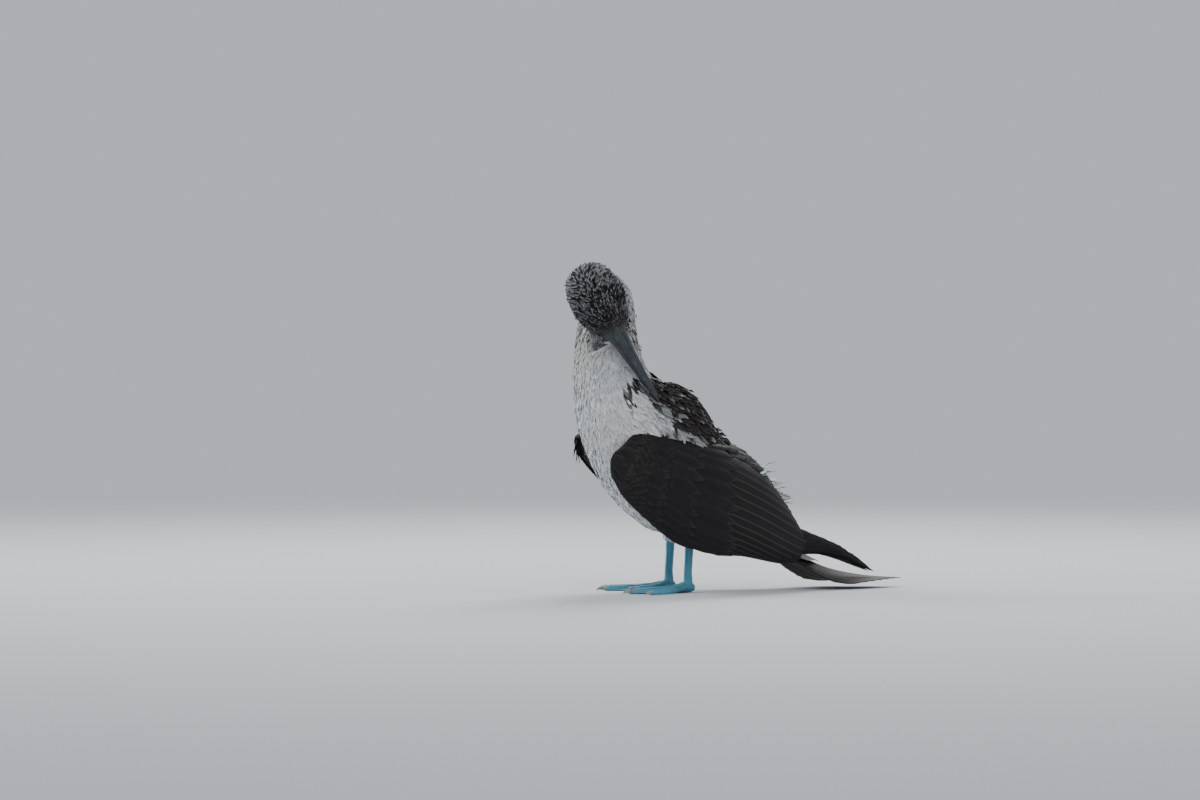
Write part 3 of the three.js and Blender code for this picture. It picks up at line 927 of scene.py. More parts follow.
@dataclass(frozen=True)
class HornFinish:
    """Hard skin of bill or claw: two tones in long streaks, with fine scratches."""

    name: str
    low: Triple
    high: Triple
    roughness: float = 0.38
    grain: float = 900.0
    bump: float = 0.12

    def build(self, blotch: bpy.types.NodeTree) -> Material:
        """The horn's material.

        Args:
            blotch: The group that gives mottling.

        Returns:
            The material.
        """
        material, nodes, shader = new_material(self.name)
        tint = nodes.add("ShaderNodeAttribute", attribute_name="tint").outputs["Color"]
        tone = nodes.ramp(nodes.cloud(blotch, 110.0, 5.0), [(0.32, self.low), (0.7, self.high)])
        fine = nodes.cloud(blotch, self.grain, 3.0)
        nodes.fill(shader, {
            # The vertex colour multiplies in the painted highlights and shade of the bill and the painted shade
            # near the ground on the claws.
            "Base Color": nodes.blend(1.0, tone, tint, "MULTIPLY"),
            "Roughness": nodes.span(fine, 0.3, 0.7, self.roughness - 0.08, self.roughness + 0.14),
            "Normal": nodes.bump(fine, self.bump, 0.0004),
            "Specular IOR Level": 0.45,
        })
        return material


@dataclass(frozen=True)
class ScaledSkin:
    """Bare skin with small scales, as on the legs, feet and face, with painted shade in the creases between
    scales.
    """

    name: str
    base: Triple
    crease_shade: Triple
    light: Triple
    scales: float = 620.0
    roughness: float = 0.42
    depth: float = 0.5

    def build(self, blotch: bpy.types.NodeTree) -> Material:
        """The skin's material.

        Args:
            blotch: The group that gives mottling.

        Returns:
            The material.
        """
        material, nodes, shader = new_material(self.name)
        where = nodes.add("ShaderNodeTexCoord").outputs["Object"]
        tint = nodes.add("ShaderNodeAttribute", attribute_name="tint").outputs["Color"]
        cells = nodes.add("ShaderNodeTexVoronoi", {"Vector": where, "Scale": self.scales},
                          feature="DISTANCE_TO_EDGE")
        gap = nodes.span(cells.outputs["Distance"], 0.0, 0.16, 0.0, 1.0)
        cloud = nodes.cloud(blotch, 130.0, 5.0)
        # Painted shade: the creases between scales take a darker colour.
        lined = nodes.blend(gap, self.crease_shade, nodes.ramp(cloud, [(0.3, self.base), (0.72, self.light)]))
        height = nodes.maths("ADD", gap, nodes.maths("MULTIPLY", cloud, 0.8))
        nodes.fill(shader, {
            # The vertex colour multiplies in the painted shade near the ground on the feet and scutes.
            "Base Color": nodes.blend(1.0, lined, tint, "MULTIPLY"),
            "Roughness": nodes.span(gap, 0.0, 1.0, self.roughness + 0.2, self.roughness),
            "Normal": nodes.bump(height, self.depth, 0.0003),
            "Subsurface Weight": 0.08,
            "Subsurface Scale": 0.002,
        })
        return material


@dataclass(frozen=True)
class EyeFinish:
    """A yellow iris round a black pupil, under a wet surface."""

    name: str = "iris_yellow"
    pupil: Triple = (0.003, 0.003, 0.004)
    iris: Triple = (0.72, 0.47, 0.06)
    rim: Triple = (0.20, 0.09, 0.015)
    white: Triple = (0.05, 0.05, 0.055)

    def build(self) -> Material:
        """The eye's material, which reads its distance from the pupil in the vane coordinates.

        Returns:
            The material.
        """
        material, nodes, shader = new_material(self.name)
        vane = nodes.add("ShaderNodeUVMap", uv_map="Vane").outputs[0]
        spokes = nodes.add("ShaderNodeTexNoise", {"Vector": vane, "Scale": 26.0, "Detail": 3.0}).outputs[0]
        polar = nodes.add("ShaderNodeSeparateXYZ", {0: vane}).outputs[0]
        nodes.fill(shader, {
            "Base Color": nodes.ramp(nodes.maths("ADD", polar, nodes.maths("MULTIPLY", spokes, 0.05)), [
                (0.30, self.pupil), (0.33, self.rim), (0.38, self.iris),
                (0.62, self.iris), (0.72, self.rim), (0.78, self.white),
            ]),
            "Roughness": 0.2,
            "Specular IOR Level": 0.1,
            "Coat Weight": 0.8,
            "Coat Roughness": 0.02,
        })
        return material


class Finishes:
    """Every material of the bird, built once."""

    def __init__(self) -> None:
        """Builds the shared groups and the materials."""
        blotch = blotch_group()
        groups = (barb_group(), blotch)
        self.down = FeatherFinish("body_feathers", barbs=9, slant=3, depth=0.07, shaft_share=0.06,
                                  shaft=(0.62, 0.62, 0.62), sheen=0.06, roughness=0.75).build(*groups)
        self.crown = FeatherFinish("crown_feathers", barbs=5, slant=2, depth=0.1, shaft_share=0.0,
                                   sheen=0.03).build(*groups)
        self.covert = FeatherFinish("covert_feathers", barbs=22, depth=0.3, shaft_share=0.5,
                                    shaft=(0.010, 0.009, 0.009), sheen=0.02).build(*groups)
        self.flight = FeatherFinish("flight_feathers", barbs=95, slant=12, depth=0.3, shaft_share=0.7,
                                    shaft=(0.055, 0.045, 0.038), sheen=0.0, roughness=0.55).build(*groups)
        self.skin = ScaledSkin("plumage_skin", (0.9, 0.9, 0.9), (0.8, 0.8, 0.8), (1.0, 1.0, 1.0),
                               scales=700, roughness=0.7, depth=0.2).build(blotch)
        self.bill = HornFinish("slate_bill", (0.011, 0.014, 0.018), (0.034, 0.041, 0.050),
                               roughness=0.46).build(blotch)
        self.claw = HornFinish("claw_horn", (0.20, 0.20, 0.19), (0.40, 0.40, 0.37), roughness=0.35,
                               grain=1400).build(blotch)
        self.foot = ScaledSkin("blue_foot_skin", (0.085, 0.34, 0.48), (0.062, 0.27, 0.40),
                               (0.15, 0.44, 0.57), scales=820, roughness=0.4, depth=0.6).build(blotch)
        self.lid = ScaledSkin("face_skin", (0.035, 0.045, 0.055), (0.015, 0.018, 0.022),
                              (0.07, 0.085, 0.10), scales=1500, roughness=0.5).build(blotch)
        self.eye = EyeFinish().build()


# Colours of the plumage, in linear light


class Tone:
    """Named colours of the plumage."""

    WHITE = np.array([0.70, 0.73, 0.77])
    CREAM = np.array([0.74, 0.74, 0.70])
    GREY = np.array([0.30, 0.31, 0.33])
    PALE = np.array([0.50, 0.52, 0.55])
    BROWN = np.array([0.056, 0.048, 0.044])
    UMBER = np.array([0.022, 0.018, 0.017])
    BLACK = np.array([0.0095, 0.0088, 0.0095])
    SLATE = np.array([0.05, 0.06, 0.07])


class Patch(Enum):
    """Where on the body a feather grows."""

    CROWN = 0
    FACE = 1
    NECK = 2
    BREAST = 3
    BACK = 4
    RUMP = 5
    THIGH = 6


@dataclass
class Markings:
    """The plumage's pattern, from where a place lies on the body."""

    mantle_stations: tuple[float, ...] = (0.0, 1.5, 2.2, 2.9, 3.5, 4.0, 4.5, 5.1, 5.5, 5.8, 6.15, 6.5)
    tuft_arch: tuple[tuple[float, float], ...] = (
        (5.45, 185), (5.75, 182), (5.98, 172), (5.95, 163), (5.72, 157), (5.4, 156),
    )
    mm_per_station: float = 28.0
    mm_per_degree: float = 1.05
    mantle_angles: tuple[float, ...] = (0, 0, 36, 45, 54, 63, 68, 67, 63, 54, 30, 0)

    def mantle(self, t: Array, angle: Array, points: Array) -> Array:
        """How far inside the dark mantle each place lies: 1 well inside, 0 outside.

        Args:
            t: Stations along the axis.
            angle: Angles round the axis, in degrees.
            points: Places in modelling millimetres.

        Returns:
            A share for each place.
        """
        half = np.interp(t, self.mantle_stations, self.mantle_angles)
        ragged = (noise(points, 11, 3) - 0.5) * 16 + (noise(points, 4, 4) - 0.5) * 8
        inside = half + ragged - np.abs(angle - 90)
        return smooth(-3, 3, inside) * (half > 4)

    def head_share(self, points: Array) -> Array:
        """1 on the head, 0 on the neck, soft between.

        Args:
            points: Places in modelling millimetres.

        Returns:
            A share for each place.
        """
        local = HEAD.local(points)
        reach = np.hypot(local[:, 1] / 34, local[:, 2] / 33)
        inside = np.where(np.abs(local[:, 0]) < 52, 1.35 - reach, -1.0)
        return smooth(0.0, 0.25, inside)

    def patches(self, points: Array, t: Array, angle: Array) -> Array:
        """The patch of each place.

        Args:
            points: Places in modelling millimetres.
            t: Stations along the axis.
            angle: Angles round the axis, in degrees.

        Returns:
            The number of a patch for each place.
        """
        local = HEAD.local(points)
        head = self.head_share(points) > 0.5
        patch = np.where(t > 6.0, Patch.NECK.value, Patch.BREAST.value)
        patch = np.where(self.mantle(t, angle, points) > 0.5, Patch.BACK.value, patch)
        patch = np.where((t < 1.9) & (np.abs(angle - 90) < 95), Patch.RUMP.value, patch)
        low = (points[:, 2] < 92) & (np.abs(points[:, 1]) > 16) & (points[:, 0] < 45) & (points[:, 0] > -22)
        patch = np.where(low, Patch.THIGH.value, patch)
        crown = head & (local[:, 2] > -8) & (local[:, 0] < 40)
        return np.where(crown, Patch.CROWN.value, np.where(head, Patch.FACE.value, patch))

    def _tuft(self, t: Array, angle: Array, points: Array) -> Array:
        """1 in the dark arch of feathers that the bill lifts from the shoulder, on the left side.

        Args:
            t: Stations along the axis.
            angle: Angles round the axis, in degrees.
            points: Places in modelling millimetres.

        Returns:
            A share for each place.
        """
        flat = np.stack([t * self.mm_per_station, angle * self.mm_per_degree], axis=1)
        arch = np.array(self.tuft_arch) * [self.mm_per_station, self.mm_per_degree]
        dense = spline(arch, np.linspace(0, len(arch) - 1, 60))
        gap = np.sqrt(((flat[:, None] - dense[None]) ** 2).sum(axis=2).min(axis=1))
        return smooth(5.6, 3.4, gap + 3.0 * (noise(points, 4, 8) - 0.5))

    def colours(self, points: Array, t: Array, angle: Array, draw: Array) -> tuple[Array, Array]:
        """Colours at the root and the tip of the feather that grows at each place.

        Args:
            points: Places in modelling millimetres.
            t: Station number of each place.
            angle: Angle of each place round the body.
            draw: Random numbers from 0 to 1, three columns.

        Returns:
            Root colours and tip colours.
        """
        first, second, third = draw.T
        off_back = np.abs(angle - 90)
        root = mix(Tone.WHITE, Tone.CREAM, noise(points, 40, 1)) * (0.9 + 0.16 * draw[:, :1])
        tip = root * 1.04
        streak = 0.55 * smooth(95, 40, off_back) * smooth(5.9, 6.6, t) + 0.85 * smooth(7.2, 8.6, t)
        streak = np.clip(streak, 0, 1) * smooth(6.2, 7.4, t)
        streaked = (second < 0.12 + 0.62 * streak) & (streak > 0.05)
        brown = mix(Tone.BROWN, Tone.GREY, 0.5 * third) * 1.1
        root = np.where(streaked[:, None], brown, root)
        tip = np.where(streaked[:, None], mix(tip, brown, 0.25 + 0.3 * first), tip)
        mantle = self.mantle(t, angle, points)
        dark = Tone.UMBER * (0.7 + 0.7 * draw[:, :1])
        # Painted highlight: some dark mantle feathers get pale grey tips, most often along the top of the back.
        highlight_tip = (second < 0.10 + 0.22 * smooth(46, 16, off_back)) * (0.35 + 0.5 * third)
        tip = mix(tip, mix(dark * (1.2 + 1.4 * draw[:, 2:]), Tone.PALE, highlight_tip), mantle)
        root = mix(root, dark, mantle)
        # A darker brown spot on the bird's left side near station 4.2.
        dark_spot = np.exp(-(((t - 4.22) / 0.26) ** 2 + ((angle - 170) / 7.0) ** 2)) * (angle > 90)
        root = mix(root, Tone.BROWN * 1.6, 0.9 * dark_spot)
        tip = mix(tip, Tone.BROWN * 2.4, 0.85 * dark_spot)
        tuft = self._tuft(t, angle, points)
        root = mix(root, Tone.UMBER * (0.8 + draw[:, :1]), tuft)
        tip = mix(tip, mix(Tone.UMBER, Tone.GREY, 0.7 * third**2), tuft)
        dusky = (t < 2.0) & (off_back < 60) & (third < 0.25)
        root = np.where(dusky[:, None], Tone.BROWN, root)
        head = self.head_share(points)
        along, _, rise = HEAD.local(points).T
        crown = smooth(-16, 2, rise)
        flecked = (second > 0.54 - 0.2 * smooth(12, -38, along)) * (0.55 + 0.45 * first)
        tip_side = mix(Tone.GREY, Tone.WHITE, 0.3 + 0.7 * second)
        tip_head = mix(tip_side, mix(Tone.UMBER * 1.4, Tone.WHITE * 0.95, flecked), crown)
        tip_front = mix(Tone.BROWN * 1.8, Tone.PALE, 0.15 + 0.4 * second)
        tip_head = mix(tip_head, tip_front, smooth(20, 40, along) * crown)
        root = mix(root, mix(Tone.BROWN * 1.3, Tone.UMBER * (0.6 + 0.8 * draw[:, :1]), crown), head)
        return np.clip(root, 0, 1), np.clip(mix(tip, tip_head, head), 0, 1)


MARKS = Markings()


# The skin


@dataclass
class Skin:
    """One skin under the coat, made from the flesh nodes and drawn in by the coat's depth."""

    voxel: float = 2.4
    passes: int = 6
    depth: float = 3.4
    head_depth: float = 2.2
    nodes: tuple[str, ...] = ("torso", "neck_lower", "neck_upper", "head", "thigh_left", "thigh_right")

    def build(self, material: Material) -> Piece:
        """Makes the skin and keeps what the coat needs of it.

        Args:
            material: What the skin is made of.

        Returns:
            The skin's object.
        """
        copies = []
        for node in self.nodes:
            copy = linked("copy_" + node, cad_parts[node].data.copy())
            mend(copy.data, merge=1e-6, outward=False)
            copies.append(copy)
        piece = fused(joined("skin", copies), self.voxel, self.passes)
        mesh = piece.data
        mesh.materials.clear()
        mesh.materials.append(material)
        points = read_points(mesh)
        head = MARKS.head_share(points)
        bare = smooth(34, 44, HEAD.local(points)[:, 0]) * head
        eye = np.minimum(*(np.linalg.norm(points - HEAD.eye(s), axis=1) for s in (1, -1)))
        depth = mix(self.depth, self.head_depth, head) * (1 - 0.75 * bare) * smooth(6, 14, eye)
        points = points - read_normals(mesh) * depth[:, None]
        move_points(mesh, points)
        self._keep(mesh, points)
        self._paint(piece, points)
        return lay_piece(piece, self.nodes)

    def _keep(self, mesh: bpy.types.Mesh, points: Array) -> None:
        """Keeps triangles, normals, the lie of the coat and a search tree.

        Args:
            mesh: The mesh.
            points: Places in modelling millimetres.
        """
        mesh.calc_loop_triangles()
        corners = np.zeros(len(mesh.loop_triangles) * 3, np.int32)
        mesh.loop_triangles.foreach_get("vertices", corners)
        self.triangles = corners.reshape(-1, 3)
        self.points = points
        self.normals = read_normals(mesh)
        self.tree = BVHTree.FromPolygons(points.tolist(), self.triangles.tolist())
        self.face_normals = unit(self.normals[self.triangles].mean(axis=1))
        self.face_lie = unit(self._lie(mesh)[self.triangles].mean(axis=1))

    def _lie(self, mesh: bpy.types.Mesh) -> Array:
        """Direction in which feathers lie at each vertex, smoothed over the skin.

        Args:
            mesh: The mesh.

        Returns:
            A unit direction for each vertex.
        """
        t, _ = AXIS.locate(self.points)
        tailwards = -AXIS.along(t)
        head = MARKS.head_share(self.points)
        local = HEAD.local(self.points)
        to_neck = unit(AXIS.centre(np.array([9.6]))[0] - self.points)
        turn = smooth(16, -34, local[:, 0])
        backwards = unit(mix(-HEAD.forward, to_neck, 0.85 * turn))
        lie = unit(mix(tailwards, backwards, head))
        low = smooth(100, 80, self.points[:, 2]) * (np.abs(self.points[:, 1]) > 14) * (self.points[:, 0] < 40)
        lie = unit(mix(lie, np.array([0.25, 0.0, -1.0]), 0.8 * low))
        edges = np.zeros(len(mesh.edges) * 2, np.int32)
        mesh.edges.foreach_get("vertices", edges)
        first, second = edges.reshape(-1, 2).T
        for _ in range(14):
            total = lie.copy()
            np.add.at(total, first, lie[second])
            np.add.at(total, second, lie[first])
            total -= self.normals * (total * self.normals).sum(axis=1, keepdims=True)
            lie = unit(total)
        return lie

    def _paint(self, piece: Piece, points: Array) -> None:
        """Gives the skin the coat's markings.

        Args:
            piece: The piece.
            points: Places in modelling millimetres.
        """
        t, angle = AXIS.locate(points)
        draw = np.stack([noise(points, 6, s) for s in (11, 12, 13)], axis=1)
        root, tip = MARKS.colours(points, t, angle, draw)
        bare = smooth(38, 44, HEAD.local(points)[:, 0]) * MARKS.head_share(points)
        dress_attributes(piece, mix(mix(root, tip, 0.35) * 0.8, Tone.SLATE, bare))

    def sow(self, spacing: Array, seed: int, keep: Array) -> tuple[Array, Array]:
        """Scatters roots evenly over the skin.

        Args:
            spacing: Distance between roots, for each triangle, in millimetres.
            seed: Seed of the draw.
            keep: Which triangles take roots.

        Returns:
            Roots in millimetres, and the triangle that each is on.
        """
        draw = np.random.default_rng(seed)
        a, b, c = (self.points[self.triangles[:, i]] for i in range(3))
        area = np.linalg.norm(np.cross(b - a, c - a), axis=1) / 2 * keep
        density = area / spacing**2
        wanted = int(density.sum() * 4.5)
        faces = draw.choice(len(density), wanted, p=density / density.sum())
        u, v = draw.random((2, wanted))
        flip = u + v > 1
        u, v = np.where(flip, 1 - u, u), np.where(flip, 1 - v, v)
        roots = a[faces] + u[:, None] * (b - a)[faces] + v[:, None] * (c - a)[faces]
        cell = float(spacing[keep > 0].max())
        grid: dict[tuple[int, int, int], list[int]] = {}
        chosen = []
        keys = np.floor(roots / cell).astype(int)
        around = [(i, j, k) for i in (-1, 0, 1) for j in (-1, 0, 1) for k in (-1, 0, 1)]
        gaps = spacing[faces] ** 2 * 0.72
        for index in range(wanted):
            x, y, z = keys[index]
            near = [n for i, j, k in around for n in grid.get((x + i, y + j, z + k), ())]
            if near and (((roots[near] - roots[index]) ** 2).sum(axis=1) < gaps[index]).any():
                continue
            grid.setdefault((x, y, z), []).append(index)
            chosen.append(index)
        return roots[chosen], faces[chosen]

    def follow(self, roots: Array, faces: Array, steps: Array, turn: Array) -> tuple[Array, Array, Array]:
        """Walks over the skin along the lie of the coat.

        Args:
            roots: Where each walk starts.
            faces: The triangle that each root is on.
            steps: Length of each walk's step, one row for each walk and a column for each step.
            turn: Angle in radians by which each walk leaves the lie.

        Returns:
            Places, normals and headings, as walk, step and coordinate.
        """
        places, normals = [roots], [self.face_normals[faces]]
        headings = [self._turned(self.face_lie[faces], normals[0], turn)]
        for step in steps.T:
            aim = places[-1] + headings[-1] * step[:, None]
            found = [self.tree.find_nearest(p) for p in aim.tolist()]
            face = np.array([f[2] for f in found])
            places.append(np.array([f[0][:] for f in found]))
            normals.append(self.face_normals[face])
            headings.append(self._turned(self.face_lie[face], normals[-1], turn))
        return np.stack(places, 1), np.stack(normals, 1), np.stack(headings, 1)

    def _turned(self, lie: Array, normal: Array, turn: Array) -> Array:
        """The lie turned about the normal."""
        side = np.cross(normal, lie)
        return unit(lie * np.cos(turn)[:, None] + side * np.sin(turn)[:, None])


def bake_place(points: Array, t: Array, angle: Array) -> Array:
    """A place on the unwrap of the skin's own shape: round the body across it, rump to crown up it.

    Args:
        points: Places in modelling millimetres.
        t: Station number of each.
        angle: Angle round the body of each, in degrees.

    Returns:
        Two numbers from 0 to 1 for each place.
    """
    body = np.stack([0.02 + 0.96 * angle / 360, 0.02 + 0.62 * np.clip(t, 0, 10.4) / 10.4], axis=1)
    local = HEAD.local(points)
    swing = np.degrees(np.arctan2(local[:, 2], local[:, 1])) % 360
    forward = np.clip((local[:, 0] + 50) / 100, 0, 1)
    head = np.stack([0.02 + 0.96 * swing / 360, 0.68 + 0.30 * forward], axis=1)
    return np.where((MARKS.head_share(points) > 0.5)[:, None], head, body)


def free_plumes(data: MeshData, roots: Array, heading: Array, normal: Array, length: Array, width: float,
                tones: tuple[Array, Array], draw: np.random.Generator, places: Array | None = None) -> None:
    """Adds loose feathers that stand free of what they grow on.

    Args:
        data: Where the feathers go.
        roots: Where each grows, in modelling millimetres.
        heading: Direction in which each points.
        normal: Direction that each one's outer face looks in.
        length: Length of each.
        width: Breadth of every one.
        tones: Root and tip colours of each.
        draw: Random numbers.
        places: Bake place of each, where the others have one too.
    """
    s = np.linspace(0, 1, 7)
    x = np.linspace(-1, 1, 7)
    heading, normal = (way[:, None, None] for way in (unit(heading), normal))
    side = unit(np.cross(normal, heading))
    length = length[:, None, None, None]
    curl = draw.normal(0, 0.12, (len(roots), 2))[:, None, None]
    jag = np.abs(draw.normal(0, 0.3, (len(roots), len(x)))) * (np.arange(len(x)) % 2 * 2 - 1) - 0.5 * x**2
    s_row = s[:, None, None]
    across = (x * (np.interp(s, [0, 0.3, 0.7, 1], [0.35, 0.9, 1.0, 0.3]) * width / 2)[:, None])[..., None]
    grid = (
        roots[:, None, None]
        + heading * length * (s_row + 0.35 * s_row**3 * jag[:, None, :, None])
        + (normal * curl[..., :1] + side * curl[..., 1:]) * s_row**2 * length
        + side * across
        - normal * np.abs(across) * 0.25
    )
    colour = mix(tones[0][:, None], tones[1][:, None], s)
    data.lay(grid, colour[:, :, None], s, x, places=places, leans=normal)


@dataclass(frozen=True)
class Plume:
    """One kind of body feather: sizes in millimetres and how it is drawn."""

    length: float
    width: float
    spacing: float
    rise: float
    root_rise: float = 0.2
    rows: int = 4
    columns: int = 5
    rag: float = 0.18
    pointed: float = 0.3
    stray: float = 0.12
    camber: float = 0.12
    softness: float = 0.55
    tinted: tuple[float, float] = (0.25, 0.95)


PLUMES: dict[Patch, Plume] = {
    Patch.CROWN: Plume(7.2, 1.8, 1.6, 3.9, rows=4, columns=3, rag=0.1, pointed=0.85, stray=0.26, softness=0.25,
                       tinted=(0.5, 0.78)),
    Patch.FACE: Plume(5.6, 1.9, 1.65, 1.8, rows=4, columns=3, rag=0.2, pointed=0.7, stray=0.16, softness=0.5),
    Patch.NECK: Plume(11.5, 3.4, 2.5, 2.8, rows=4, columns=5, rag=0.36, pointed=0.6, stray=0.17, softness=0.6),
    Patch.BREAST: Plume(15.0, 5.0, 3.0, 2.8, rows=4, columns=7, rag=0.46, pointed=0.4, stray=0.18, softness=0.78),
    Patch.BACK: Plume(20.0, 7.0, 3.6, 6.6, rows=5, columns=7, rag=0.36, pointed=0.45, stray=0.28, softness=0.15,
                      tinted=(0.72, 1.0)),
    Patch.RUMP: Plume(18.0, 6.4, 4.0, 4.2, rows=4, columns=7, rag=0.4, pointed=0.45, stray=0.24, softness=0.5),
    Patch.THIGH: Plume(10.0, 3.8, 2.5, 2.3, rows=4, columns=5, rag=0.42, pointed=0.5, stray=0.2, softness=0.65),
}


@dataclass
class Coat:
    """The small feathers of head, neck and body, laid over the skin."""

    skin: Skin
    seed: int = 41
    nudge_rise: float = 7.0
    nudge_reach: float = 17.0
    wisps: int = 60
    wisp_width: float = 6.0

    def build(self, finishes: Finishes) -> list[Piece]:
        """Grows every patch.

        Args:
            finishes: The bird's materials.

        Returns:
            The coat's pieces.
        """
        centres = self.skin.points[self.skin.triangles].mean(axis=1)
        t, angle = AXIS.locate(centres)
        patches = MARKS.patches(centres, t, angle)
        bare = self._bare(centres)
        looks = {Patch.CROWN: finishes.crown, Patch.FACE: finishes.crown}
        made = []
        for number, (patch, plume) in enumerate(PLUMES.items()):
            keep = ((patches == patch.value) & ~bare).astype(float)
            roots, faces = self.skin.sow(np.full(len(keep), plume.spacing), self.seed + number, keep)
            data = MeshData()
            self._grow(data, plume, roots, faces, number)
            if patch is Patch.RUMP:
                self._wisps(data)
            look = looks.get(patch, finishes.down)
            for piece in data.build("coat_" + patch.name.lower(), look, plume.softness):
                made.append(lay_piece(piece))
            LOG.info("%s: %d feathers", patch.name, len(roots))
        return made

    def _wisps(self, data: MeshData) -> None:
        """Loose white feathers that stand out over the rump.

        Args:
            data: Where the feathers are gathered.
        """
        draw = np.random.default_rng(self.seed + 60)
        count = self.wisps
        t = 1.5 + 0.8 * draw.random(count)
        angle = 106 + draw.normal(0, 9, count)
        along, lateral, dorsal = AXIS.basis(t)
        across, up = (share[:, None] for share in (np.cos(np.radians(angle)), np.sin(np.radians(angle))))
        normal = lateral * across + dorsal * up
        size = AXIS.size(t)
        reach = np.hypot(across * size[:, 2:3], up * size[:, :1])
        roots = AXIS.centre(t) + normal * (reach - 3)
        heading = -along + normal * (0.25 + 0.4 * draw.random((count, 1))) + draw.normal(0, 0.12, (count, 3))
        length = 20 + 14 * draw.random(count)
        pale = Tone.WHITE * (0.95 + 0.2 * draw.random((count, 1)))
        free_plumes(data, roots, heading, normal, length, self.wisp_width, (pale * 0.8, pale), draw,
                    bake_place(roots, t, angle))

    def _bare(self, points: Array) -> Array:
        """Where no feather grows: round the bill's base and the eyes, and on cut leg ends.

        Args:
            points: Places in modelling millimetres.

        Returns:
            True where none grows.
        """
        local = HEAD.local(points)
        ring = np.hypot(local[:, 1], local[:, 2])
        bill = (local[:, 0] > 42.5) & (local[:, 0] < 60) & (ring < 18)
        eyes = np.zeros(len(points), bool)
        for sign in (1, -1):
            eyes |= np.linalg.norm(points - HEAD.eye(sign) - 3 * HEAD.gaze(sign), axis=1) < 9.2
        return bill | eyes | (points[:, 2] < 57)

    def _grow(self, data: MeshData, plume: Plume, roots: Array, faces: Array, number: int) -> None:
        """Adds one plume for each root.

        Args:
            data: Where the plumes go.
            plume: What they are like.
            roots: Where each grows, in modelling millimetres.
            faces: The skin's triangle under each root.
            number: Number of the patch, for its draw.
        """
        draw = np.random.default_rng(self.seed * 100 + number)
        count, rows, columns = len(roots), plume.rows, plume.columns
        s = np.linspace(0, 1, rows)
        x = np.linspace(-1, 1, columns)
        size = 0.82 + 0.36 * draw.random(count)
        front = smooth(-5, 42, HEAD.local(roots)[:, 0]) * MARKS.head_share(roots)
        size = size * (1 - 0.4 * front)
        length = plume.length * size
        steps = np.repeat((length / (rows - 1))[:, None], rows - 1, axis=1)
        turn = draw.normal(0, plume.stray, count)
        places, normals, headings = self.skin.follow(roots, faces, steps, turn)
        lift = plume.root_rise + (plume.rise - plume.root_rise) * s**0.8
        lift = lift * ((0.8 + 0.4 * draw.random(count)) * (1 - 0.45 * front))[:, None]
        ruffle = (draw.random(count) < 0.05) * draw.random(count) * plume.rise * 0.8
        nudge = np.linalg.norm(roots - HEAD.bill_tip, axis=1)
        ruffle = ruffle + self.nudge_rise * np.exp(-((nudge / self.nudge_reach) ** 2)) * draw.random(count)
        spine = places + normals * (lift + ruffle[:, None] * s**2)[..., None]
        side = unit(np.cross(normals, headings))
        roll = draw.normal(0, 0.14, count)[:, None, None]
        breadth = np.interp(s, [0, 0.35, 0.7, 1], [0.45, 0.95, 1.0, 1 - 0.85 * plume.pointed])
        half = (plume.width / 2 * size)[:, None, None]
        across = x * breadth[:, None] * half
        camber = across * np.tan(roll) - plume.camber * x**2 * half
        ragged = np.abs(draw.normal(0, plume.rag, (count, columns)))
        front_edge = ragged * 0.7 - np.abs(x) ** 2.2 * (0.35 + 0.4 * plume.pointed)
        ahead = front_edge[:, None] * s[:, None] ** 3 * (length * 0.5)[:, None, None]
        grid = spine[:, :, None] + sum(
            way[:, :, None] * reach[..., None]
            for way, reach in ((side, across), (normals, camber), (headings, ahead))
        )
        t, angle = AXIS.locate(roots)
        root, tip = MARKS.colours(roots, t, angle, draw.random((count, 3)))
        colour = mix(root[:, None], tip[:, None], smooth(*plume.tinted, s))[:, :, None]
        data.lay(grid, colour, s, x, places=bake_place(roots, t, angle), leans=normals[:, :, None])


# Wings


@dataclass
class WingFace(Track):
    """A folded wing's curved outer face, on the bird's left (-1) or right (+1) side."""

    side: int = 1
    edge: float = 1.2

    def point(self, t: Array, q: Array, height: Array) -> Array:
        """Places on or over the face.

        Args:
            t: Station numbers.
            q: Places across, from -1 at the lower edge to 1 at the upper.
            height: Distances out from the face, in millimetres.

        Returns:
            Places in modelling millimetres, in the shape of the arguments.
        """
        t, q, height = np.broadcast_arrays(*(np.asarray(v, float) for v in (t, q, height)))
        shape = t.shape
        t, q, height = t.ravel(), q.ravel(), height.ravel()
        centre, along = self.centre(t), self.along(t)
        rise, rise_tuck, fall, fall_tuck, _ = self.size(t).T
        outward = unit(np.array([0.0, 1.0, 0.0]) - along * along[:, 1:2])
        upward = unit(np.cross(along, outward))
        reach = np.where(q > 0, rise, fall)
        tuck = np.where(q > 0, rise_tuck, fall_tuck)
        bend = np.abs(q) * self.edge
        over = np.sign(q) * reach * np.sin(bend) / math.sin(self.edge)
        within = tuck * (1 - np.cos(bend)) / (1 - math.cos(self.edge))
        side = np.sign(q) * tuck * np.sin(bend)
        normal = unit(outward * (reach * np.cos(bend))[:, None] + upward * side[:, None])
        place = centre + upward * over[:, None] - outward * within[:, None] + normal * height[:, None]
        place[:, 1] *= self.side
        return place.reshape(*shape, 3)

    def reach(self, t: Array, q: Array) -> Array:
        """Distance across the face from its middle line to the edge, on q's side.

        Args:
            t: Stations along the wing.
            q: Places across the face, whose sign tells the side.

        Returns:
            Distances in millimetres.
        """
        t, q = np.broadcast_arrays(np.asarray(t, float), np.asarray(q, float))
        sizes = self.size(t.ravel()).reshape(*t.shape, -1)
        return np.where(q > 0, sizes[..., 0], sizes[..., 2])


def pairs(t: Array, q: Array) -> Array:
    """Places on a face from stations and shares across, either of which may be one for all."""
    return np.stack(np.broadcast_arrays(t, q), axis=1).astype(float)


